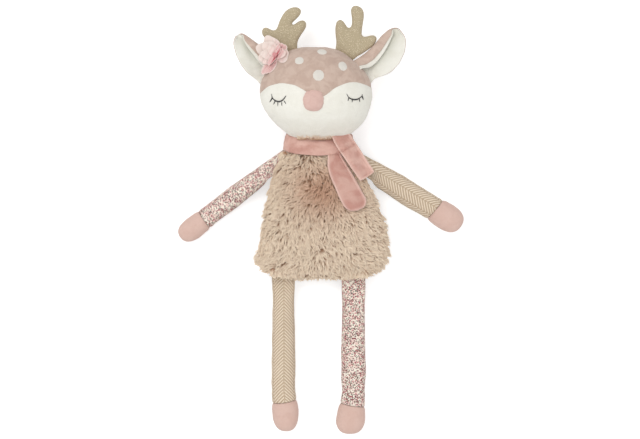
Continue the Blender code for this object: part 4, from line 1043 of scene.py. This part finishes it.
def makeFlower():
    turned = Vector((0, 0, 1)).rotation_difference(Vector(flower["facing"])).to_matrix().to_4x4()
    pose = Matrix.Translation(Vector(flower["at"])) @ turned
    start, end = (Vector(point + (0,)) for point in flower["crease"])
    middle, line = (start + end) / 2, (end - start).normalized()
    for layer, (name, node, petals) in enumerate(flower["layers"]):
        ringMesh = bmesh.new()
        folds, area = [], 0.0
        for petal, (turn, reach, half, cup, lift) in enumerate(petals):
            bm = bmesh.new()
            bmesh.ops.create_grid(bm, x_segments=26, y_segments=26, size=1)
            spin = Matrix.Rotation(math.radians(turn), 4, "Z")
            seed = Vector((layer * 3.1, petal * 1.7, 0.5))
            for vert in bm.verts:
                a, b = vert.co.x, vert.co.y
                u, v = a * math.sqrt(1 - b * b / 2), b * math.sqrt(1 - a * a / 2)  # square to disc
                rim, around = math.hypot(u, v), math.atan2(v, u)
                out = (u * 0.52 + 0.48) * reach * (1 + 0.05 * math.sin(4 * around + petal))
                side = v * half * (1 + 0.10 * math.sin(3 * around + petal))
                rise = lift + cup * (out / reach) ** 2
                rise += flower["ruffle"] * rim**3 * math.sin(3 * around + petal * 2.1 + layer)
                rise += 0.6 * rim * softNoise.noise(Vector((u, v, 0)) * 1.3 + seed)
                place = pose @ (spin @ Vector((out, side, rise)))
                gap = place - middle
                gap.z = 0
                along = gap.dot(line)
                away = (gap - line * along).length
                crease = math.exp(-((away / flower["creaseWidth"]) ** 2) - (along / flower["creaseLength"]) ** 2)
                pleat = math.sin(2 * math.pi * away / flower["pleat"]) * math.exp(-((away / 8) ** 2))
                place.z += 0.6 * pleat - 2.0 * crease
                # Deeper pink at the centre and along the crease; one side of each pleat darker, a painted shade; paler
                # towards the petal edges
                pink = 0.06 + 0.3 * math.exp(-((away / 5.5) ** 2)) + 0.7 * crease + max(0.0, -0.2 * pleat)
                folds.append(min(1.0, pink * (1 - 0.7 * max(0.0, rim - 0.82) / 0.18)))
                vert.co = place * mm
            part = toMesh(bm, "petal")
            ringMesh.from_mesh(part)
            area += math.pi * 0.52 * reach * half
            bpy.data.meshes.remove(part)
        for vert in ringMesh.verts:
            hit = headSurface.ray_cast(Vector((vert.co.x, vert.co.y, 0.2)), Vector((0, 0, -1)))[0]
            if hit:
                vert.co.z = max(vert.co.z, hit.z + (0.7 + 0.5 * layer) * mm)
        mesh = toMesh(ringMesh, name)
        makeAttribute(mesh, "fold", folds)
        piece = addPiece(name, mesh, "chiffon", "head", [node])
        thicken(piece, flower["cloth"] * mm, 0.0)
    bud = quadBall(8)
    for vert in bud.verts:
        swell = 1 + 0.25 * softNoise.noise(vert.co * 2.2)
        vert.co = (pose @ (vert.co * flower["bud"] * swell + Vector((0, 0, 4.5)))) * mm
    mesh = toMesh(bud, "flowerKnot")
    makeAttribute(mesh, "fold", [0.7] * len(mesh.vertices))
    addPiece("flowerKnot", mesh, "chiffon", "head", ["flower_bud"])
    print("flower made")


makeFlower()


# Scarf: a strip of velour wound once round the neck; rows are (across, along, half width, lean)
torso = {"half": 63.3, "bottom": -64.3, "length": 131.8}
scarf = {
    "loop": {
        "middle": 0.44, "half": 31.4, "height": 20.5, "depth": 16.5, "width": 15.6, "thick": 3.2, "flare": 1.5,
        "along": ((0.0, 0.995), (0.125, 0.965), (0.25, 0.948), (0.375, 0.965), (0.5, 0.995), (0.75, 1.005),
                  (1.0, 0.995)),
        "folds": 0.7,
    },
    "thick": 2.6,
    "strips": (
        {"name": "scarfLowerTail", "node": "scarf_lower_tail", "body": "lower_tail", "over": ("scarf_lower_tail",),
         "finish": "tailVelour", "round": 0.80, "power": 2.4, "tuck": 54.0,
         "rows": ((0.225, 0.915, 0.095, 0.0), (0.250, 0.875, 0.112, 0.0), (0.275, 0.825, 0.145, 0.04),
                  (0.33, 0.76, 0.165, 0.10), (0.40, 0.69, 0.17, 0.2), (0.47, 0.62, 0.175, 0.27),
                  (0.535, 0.56, 0.178, 0.3), (0.583, 0.502, 0.178, 0.3))},
        {"name": "scarfUpperTail", "node": "scarf_upper_tail", "body": "upper_tail",
         "over": ("scarf_upper_tail", "scarf_wrap"), "finish": "scarfVelour", "round": 0.93, "power": 3.0, "tuck": None,
         "rows": ((0.438, 0.948, 0.137, 0.55), (0.495, 0.908, 0.136, 0.56), (0.551, 0.867, 0.134, 0.57),
                  (0.608, 0.826, 0.132, 0.58), (0.653, 0.794, 0.130, 0.58), (0.691, 0.767, 0.129, 0.58),
                  (0.728, 0.740, 0.127, 0.58))},
        {"name": "scarfWrap", "node": "scarf_wrap", "body": None,
         "over": ("scarf_upper_tail", "scarf_wrap"), "finish": "scarfVelour", "round": 1.0, "power": 2.0, "tuck": None,
         "rows": ((0.290, 1.055, 0.112, 0.52), (0.344, 1.016, 0.132, 0.54), (0.389, 0.9835, 0.137, 0.55),
                  (0.440, 0.9469, 0.137, 0.55))},
    ),
}


def makeStrip(strip, meets=None):
    # A flat tube of cloth with a rolled hem, laid over what is under its CAD solid
    surface = surfaceOf(*strip["over"])
    rows, keys = strip["rows"], np.linspace(0, 1, len(strip["rows"]))
    parts = [curveOf([(key, row[part]) for key, row in zip(keys, rows)], rounds=6) for part in range(4)]

    def placeAt(column, row):
        across, along, wide, lean = (part(row) for part in parts)
        past = max(row - strip["round"], 0) / max(1 - strip["round"], 1e-6)
        wide *= max(1 - past ** strip["power"], 0) ** (1 / strip["power"])
        x = (across + column * wide * math.cos(lean)) * torso["half"]
        y = torso["bottom"] + along * torso["length"] + column * wide * math.sin(lean) * torso["half"]
        return x, y, wide * torso["half"]

    lines, columns = 40, 13
    heights = np.zeros((lines, columns))
    for line in range(lines):
        for column in range(columns):
            x, y, _ = placeAt((column / (columns - 1) * 2 - 1) * 0.9, line / (lines - 1))
            hit = surface.ray_cast(Vector((x * mm, y * mm, 0.2)), Vector((0, 0, -1)))[0]
            hit = hit or surface.find_nearest(Vector((x * mm, y * mm, 0.044)))[0]
            heights[line, column] = hit.z / mm
            if strip["tuck"] and y > strip["tuck"]:
                heights[line, column] = min(heights[line, column], 38.0 - 1.1 * (y - strip["tuck"]))
    if meets is not None:  # the strip runs on into the next one
        ramp = np.linspace(0, 1, lines)[:, None] ** 1.5
        heights += ramp * (meets - heights[-1])
    for _ in range(3):
        padded = np.pad(heights, 1, "edge")
        heights = (padded[:-2, 1:-1] + padded[2:, 1:-1] + padded[1:-1, :-2] + padded[1:-1, 2:] + 4 * heights) / 8
    bm = bmesh.new()
    bmesh.ops.create_grid(bm, x_segments=64, y_segments=56, size=0.5)
    rim = []
    for vert in bm.verts:
        section, row = 2 * math.pi * (vert.co.x + 0.5), vert.co.y + 0.5
        cosine, sine = math.cos(section), math.sin(section)
        column = math.copysign(abs(cosine) ** 0.9, cosine)
        up = math.copysign(abs(sine) ** 0.55, sine)
        x, y, wide = placeAt(column, row)
        spot, line = (column + 1) / 2 * (columns - 1), row * (lines - 1)
        i, j = min(int(spot), columns - 2), min(int(line), lines - 2)
        u, v = spot - i, line - j
        top = ((heights[j, i] * (1 - u) + heights[j, i + 1] * u) * (1 - v)
               + (heights[j + 1, i] * (1 - u) + heights[j + 1, i + 1] * u) * v)
        away = (1 - abs(column)) * wide
        end = math.hypot(rows[0][0] - rows[-1][0], (rows[0][1] - rows[-1][1]) * 2) * torso["half"]
        if strip["round"] < 1:
            away = min(away, (1 - row) * end)
        thick = scarf["thick"] * (0.35 + 0.65 * min(1, away / 1.1) ** 0.5)
        swell = 0.35 * math.exp(-(((away - 1.0) / 0.8) ** 2)) - 0.45 * math.exp(-(((away - 2.5) / 0.6) ** 2))
        lean = Vector(((x + y) / 7, (y - x) / 22, 0))
        swell += 0.8 * softNoise.noise(lean) * min(1.0, away / 2)
        z = top - scarf["thick"] / 2 + up * thick / 2 + (swell if up > 0 else 0.4 * swell)
        vert.co = Vector((x, y, z)) * mm
        # Painted highlight: the hems go lighter, towards the rim colour
        rim.append(math.exp(-((away / 1.8) ** 2)))
    mesh = toMesh(bm, strip["name"])
    makeAttribute(mesh, "rim", rim)
    closed = bmesh.new()
    closed.from_mesh(mesh)
    bmesh.ops.remove_doubles(closed, verts=closed.verts[:], dist=1e-6)
    bmesh.ops.holes_fill(closed, edges=[edge for edge in closed.edges if edge.is_boundary], sides=0)
    bmesh.ops.recalc_face_normals(closed, faces=closed.faces[:])
    mesh = toMesh(closed, strip["name"])
    return addPiece(strip["name"], mesh, strip["finish"], strip["body"], [strip["node"]]), heights[0]


def makeScarf():
    loop = scarf["loop"]
    alongOf = curveOf(loop["along"], rounds=8)
    bm = bmesh.new()
    bmesh.ops.create_grid(bm, x_segments=150, y_segments=36, size=0.5)
    for vert in bm.verts:
        share, section = vert.co.x + 0.5, 2 * math.pi * (vert.co.y + 0.5)
        turn = 2 * math.pi * share
        outward = Vector((math.cos(turn), 0, math.sin(turn)))
        ring = Vector((loop["middle"] + loop["half"] * math.cos(turn),
                       torso["bottom"] + alongOf(share) * torso["length"],
                       loop["height"] + loop["depth"] * math.sin(turn)))
        side = math.sin(section)
        side = math.copysign(abs(side) ** 0.8, side)
        out = loop["thick"] / 2 * math.cos(section) - loop["flare"] * side
        wave = Vector((math.cos(turn) * 1.1, side * 1.9, math.sin(turn) * 1.1))
        fold = loop["folds"] * (softNoise.noise(wave * 1.6) + 0.5 * softNoise.noise(wave * 3.7))
        if math.cos(section) > -0.3:
            out += fold
        place = ring + outward * out
        place.y += loop["width"] / 2 * side
        place.z = max(place.z, 0.5)
        vert.co = place * mm
    bmesh.ops.remove_doubles(bm, verts=bm.verts[:], dist=1e-6)
    bmesh.ops.recalc_face_normals(bm, faces=bm.faces[:])
    band = addPiece("scarfBand", bm, "scarfVelour", None, ["scarf_loop"])
    made, meets = {}, None
    for strip in scarf["strips"]:
        made[strip["name"]], meets = makeStrip(strip, meets if strip["name"] == "scarfWrap" else None)
    for piece in (band, made["scarfWrap"]):
        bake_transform(piece)
    print("scarf made")
    return [band] + list(made.values())


scarfPieces = makeScarf()


# Body: a stuffed backing and locks of faux fur that grow out of it
fur = {
    "centre": Vector((2.0, 4.0, 22.0)) * mm,
    "shrink": 3.8 * mm,
    "locks": 7700,
    "strands": 6,
    "length": (8.5, 12.0),
    "radius": 0.31,
    "spread": 1.5,
    "rise": 3.8,
    "wave": (0.6, 1.3),
    "waveLength": (7.5, 11.0),
    # short locks over the left arm, both legs and under the scarf: how many, where, which way and how long
    "roots": (
        (110, (-33.5, -30.0), (45.0, 56.5), (26.0, 30.0), (-0.85, -0.5), (4.0, 6.0)),
        (80, (-45.0, -21.0), (-56.5, -52.5), (26.5, 28.5), (0.0, -1.0), (5.5, 8.0)),
        (80, (21.0, 45.5), (-56.5, -52.5), (26.5, 28.5), (0.0, -1.0), (5.5, 8.0)),
        (90, (-31.0, -22.0), (55.0, 60.0), (20.0, 27.0), (-0.3, 0.95), (4.0, 6.5)),
    ),
    "swirl": (2.0, 30.0),
    "swirlReach": 24.0,
    "warmAt": (6.0, 25.0),
    "warmReach": 24.0,
    "pieces": 9,
}
fringe = {"locks": 90, "across": (-20.0, 15.0), "along": 68.5, "length": (1.4, 4.2)}
furRandom = np.random.default_rng(11)


def furDirection(places):
    # Which way the pile lies, for rows of points in mm: down the body, outwards at the sides, with a swirl
    x, y = places[:, 0] - 4.0, places[:, 1]
    flow = np.stack([x / 42, -0.75 - 0.35 * np.clip(-y / 60, 0, 1), np.zeros_like(x)], 1)
    offX, offY = places[:, 0] - fur["swirl"][0], y - fur["swirl"][1]
    away = np.hypot(offX, offY) + 1e-6
    pull = 0.8 * np.exp(-((away / fur["swirlReach"]) ** 2)) * np.minimum(away / 8, 1)
    flow[:, 0] += pull * offY / away
    flow[:, 1] += -pull * offX / away
    for row, place in enumerate(places):
        turn = 0.9 * softNoise.noise(Vector(place) / 17) + 0.5 * softNoise.noise(Vector(place) / 7)
        turn += 1.2 * math.exp(-((away[row] / 18) ** 2)) * softNoise.noise(Vector(place) / 5)
        cosine, sine = math.cos(turn), math.sin(turn)
        u, v = flow[row, 0], flow[row, 1]
        flow[row, 0], flow[row, 1] = u * cosine - v * sine, u * sine + v * cosine
    return flow / np.linalg.norm(flow, axis=1, keepdims=True)


def makeBacking():
    bm = castOnto(quadBall(46), surfaceOf("torso_fur_front", "torso_fur_back"), fur["centre"])
    smooth(bm, 5)
    bm.normal_update()
    for vert in bm.verts:
        vert.co -= vert.normal * fur["shrink"]
        vert.co.z = max(vert.co.z, 1.6 * mm)
    smooth(bm, 2)
    bm.normal_update()
    data = np.array([(f.calc_area(), *f.calc_center_median(), *f.normal) for f in bm.faces])
    corners = np.array([[v.co for v in f.verts] for f in bm.faces])
    normals = np.array([[v.normal for v in f.verts] for f in bm.faces])
    addPiece("furBacking", bm, "furBacking", "torso", ["torso_fur_back"])
    return data, corners, normals


def makeFurLocks():
    data, corners, normals = makeBacking()
    draw = furRandom
    weight = data[:, 0] * np.where(data[:, 6] < -0.35, 0.45, 1.0)
    weight /= weight.sum()
    picked = draw.choice(len(weight), fur["locks"], p=weight)
    u, v = draw.random(fur["locks"]), draw.random(fur["locks"])
    blendShares = np.stack([(1 - u) * (1 - v), u * (1 - v), u * v, (1 - u) * v], 1)[:, :, None]
    roots = (corners[picked] * blendShares).sum(1) / mm
    up = (normals[picked] * blendShares).sum(1)
    up /= np.linalg.norm(up, axis=1, keepdims=True)
    lengths = draw.uniform(*fur["length"], fur["locks"])
    under = up[:, 2] < -0.35
    lengths[under] *= 0.7
    rises = fur["rise"] * draw.uniform(0.75, 1.25, fur["locks"])
    rises[under] *= 0.35
    sides = (up[:, 2] > -0.35) & (up[:, 2] < 0.4)
    rises[sides] *= 0.55
    lengths[sides] *= 0.58
    lengths[roots[:, 1] < -50] *= 0.68
    flow = furDirection(roots)
    first = 0
    for count, across, along, height, way, span in fur["roots"]:
        last = first + count
        roots[first:last] = np.stack([draw.uniform(*part, count) for part in (across, along, height)], 1)
        up[first:last], flow[first:last] = (0, 0, 1), way + (0,)
        lengths[first:last], rises[first:last] = draw.uniform(*span, count), 1.4
        first = last
    flow[:, :2] += draw.normal(0, 0.2, (fur["locks"], 2)) * np.where(sides, 0.5, 1.0)[:, None]
    flow -= up * (flow * up).sum(1, keepdims=True)
    flow /= np.linalg.norm(flow, axis=1, keepdims=True) + 1e-9
    side = np.cross(up, flow)
    phases = draw.uniform(0, 2 * math.pi, fur["locks"])
    waves, waveLengths = draw.uniform(*fur["wave"], fur["locks"]), draw.uniform(*fur["waveLength"], fur["locks"])
    waves[sides] *= 0.5
    tones = draw.beta(1.5, 4.0, fur["locks"])
    # Near the swirl the locks are warmer and darker: partly their own warmer colour, partly painted shade where more of
    # the shaded roots show
    warmAway = np.hypot(roots[:, 0] - fur["warmAt"][0], roots[:, 1] - fur["warmAt"][1])
    warmShades = np.exp(-((warmAway / fur["warmReach"]) ** 2))
    tones = np.clip(tones + 0.3 * warmShades, 0, 1)
    tones[:first] = draw.uniform(0.1, 0.4, first)
    shares = np.linspace(0, 1, 6)
    scarfTops = [BVHTree.FromObject(piece, bpy.context.evaluated_depsgraph_get()) for piece in scarfPieces]
    groups = [([], []) for _ in range(fur["pieces"])]
    down = Vector((0, 0, -1))
    for lock in range(fur["locks"]):
        splines, looks = groups[lock * fur["pieces"] // fur["locks"]]
        for _ in range(fur["strands"]):
            start = roots[lock] + (side[lock] * draw.normal() + flow[lock] * draw.normal()) * fur["spread"] * 0.6
            tighten = (roots[lock] - start) * 0.8
            length = lengths[lock] * draw.uniform(0.8, 1.1)
            turns = phases[lock] + shares * length * 2 * math.pi / waveLengths[lock]
            curl = waves[lock] * shares**0.6
            lift = rises[lock] * draw.uniform(0.7, 1.1) * (1 - (1 - shares) ** 2.2) + 0.5 * curl * np.cos(turns)
            points = (start + np.outer(shares, tighten) + np.outer(shares * length * 0.9, flow[lock])
                      + np.outer(curl * np.sin(turns), side[lock]) + np.outer(lift, up[lock]))
            points[:, 2] -= 2.2 * shares**2 * max(0.0, 0.8 - up[lock][2])
            points[:, 2] = np.maximum(points[:, 2], 0.35)
            spot = points[-1]
            if spot[1] > 0 and spot[2] > 20:
                for tree in scarfTops:
                    for row in points:
                        hit = tree.ray_cast(Vector((row[0] * mm, row[1] * mm, 0.2)), down)[0]
                        if hit and row[2] > hit.z / mm - 3.6:
                            row[2] = hit.z / mm - 3.6
            splines.append((points * mm, (1.0, 1.0, 0.9, 0.75, 0.5, 0.12)))
            looks.append((np.clip(tones[lock] + draw.normal() * 0.08, 0, 1), warmShades[lock]))
    profile = makeProfile()
    for index, (splines, looks) in enumerate(groups):
        name = "furFront" if index == 0 else "furLocks%d" % index
        addStrands(name, splines, looks, profile, ["torso_fur_front"] if index == 0 else [])
    makeNeckFringe(profile)
    bpy.data.objects.remove(profile)
    print("fur made")


def addStrands(name, splines, looks, profile, stands):
    # looks: for each strand its tone, and how much it takes of the swirl's warmer colour and painted shade
    mesh = meshFromCurve(name, splines, 0.0, profile)
    perStrand, caps = len(splines[0][1]), 2 * len(splines)
    ring = np.arange(len(mesh.vertices)) // 3  # the end caps come first, from the last strand to the first
    strand = np.where(ring < caps, len(splines) - 1 - ring // 2, (ring - caps) // perStrand)
    looks = np.asarray(looks, dtype=np.float32)[strand]
    makeAttribute(mesh, "tip", np.where(ring < caps, 1 - ring % 2, (ring - caps) % perStrand / (perStrand - 1)))
    makeAttribute(mesh, "tone", looks[:, 0])
    makeAttribute(mesh, "warmShade", looks[:, 1])
    addPiece(name, mesh, "furStrands", "torso", stands).data.shade_flat()


def makeNeckFringe(profile):
    # Tips of the pile that stand up between the scarf and the chin
    draw = np.random.default_rng(5)
    shares, splines = np.linspace(0, 1, 5), []
    for _ in range(fringe["locks"]):
        x = draw.uniform(*fringe["across"])
        z = 23.5 + 15.0 * math.sqrt(1 - (x / 36) ** 2)
        turn, length = draw.normal() * 0.9, draw.uniform(*fringe["length"])
        along = fringe["along"] + draw.uniform(-0.7, 0.7)
        for _ in range(3):
            start = np.array([x + draw.normal() * 0.5, along, z])
            ahead = np.array([math.sin(turn) * 0.9, 0.85, 0.15])
            points = start + np.outer(shares * length * draw.uniform(0.8, 1.1), ahead)
            points[:, 0] += 0.6 * np.sin(shares * 5 + turn * 9)
            for row in points:
                hit = headSurface.ray_cast(Vector((row[0] * mm, row[1] * mm, 0.2)), Vector((0, 0, -1)))[0]
                if hit:
                    row[2] = max(row[2], hit.z / mm + 0.4)
            splines.append((points * mm, (1.0, 1.0, 0.8, 0.6, 0.15)))
    addStrands("neckFringe", splines, [(0.2, 0.1)] * len(splines), profile, [])


def makeProfile():
    # The three-sided section of one strand
    curve = bpy.data.curves.new("section", "CURVE")
    curve.dimensions = "2D"
    spline = curve.splines.new("POLY")
    spline.points.add(2)
    spline.use_cyclic_u = True
    for point, turn in zip(spline.points, (270, 30, 150)):
        angle = math.radians(turn)
        point.co = (math.cos(angle) * fur["radius"] * mm, math.sin(angle) * fur["radius"] * mm, 0, 1)
    holder = bpy.data.objects.new("section", curve)
    bpy.context.scene.collection.objects.link(holder)
    return holder


makeFurLocks()


# Camera, floor and light: seen from straight above on a white table, lit from the upper left
view = {"at": (1.41, -6.57), "height": 3.0, "plane": 25.0, "width": 601.0}


def makeStage():
    scene = bpy.context.scene
    scene.view_settings.view_transform = "Standard"
    camera = bpy.data.objects.new("camera", bpy.data.cameras.new("camera"))
    scene.collection.objects.link(camera)
    scene.camera = camera
    camera.location = (view["at"][0] * mm, view["at"][1] * mm, view["height"] + view["plane"] * mm)
    camera.data.sensor_width = 36
    camera.data.lens = 36 * view["height"] / (view["width"] * mm)
    camera.data.clip_end = 20

    floorMesh = bmesh.new()
    bmesh.ops.create_grid(floorMesh, x_segments=1, y_segments=1, size=4)
    floor = bpy.data.objects.new("floor", toMesh(floorMesh, "floor"))
    scene.collection.objects.link(floor)
    material = bpy.data.materials.new("floor")
    material.use_nodes = True
    shader = material.node_tree.nodes["Principled BSDF"]
    shader.inputs["Base Color"].default_value = (0.80, 0.80, 0.80, 1)
    shader.inputs["Roughness"].default_value = 0.9
    shader.inputs["Specular IOR Level"].default_value = 0.0
    shader.inputs["Emission Color"].default_value = (1, 1, 1, 1)
    seen = addNode(material, "ShaderNodeLightPath").outputs["Is Camera Ray"]
    glow = sumOf(material, "MULTIPLY", seen, 0.5)
    material.node_tree.links.new(glow, shader.inputs["Emission Strength"])
    floor.data.materials.append(material)

    world = bpy.data.worlds.new("world")
    scene.world = world
    world.use_nodes = True
    world.node_tree.nodes["Background"].inputs["Color"].default_value = (1, 1, 1, 1)
    world.node_tree.nodes["Background"].inputs["Strength"].default_value = 0.78
    for name, at, size, power in (("key", (-0.8, 0.7, 1.9), 1.2, 15.0), ("fill", (0.6, -1.3, 1.5), 1.4, 6.0)):
        lamp = bpy.data.lights.new(name, "AREA")
        lamp.size = size
        lamp.energy = power
        light = bpy.data.objects.new(name, lamp)
        scene.collection.objects.link(light)
        light.location = at
        light.rotation_euler = (Vector((0, 0, 0)) - Vector(at)).to_track_quat("-Z", "Y").to_euler()
    print("camera, floor and lights made")


makeStage()
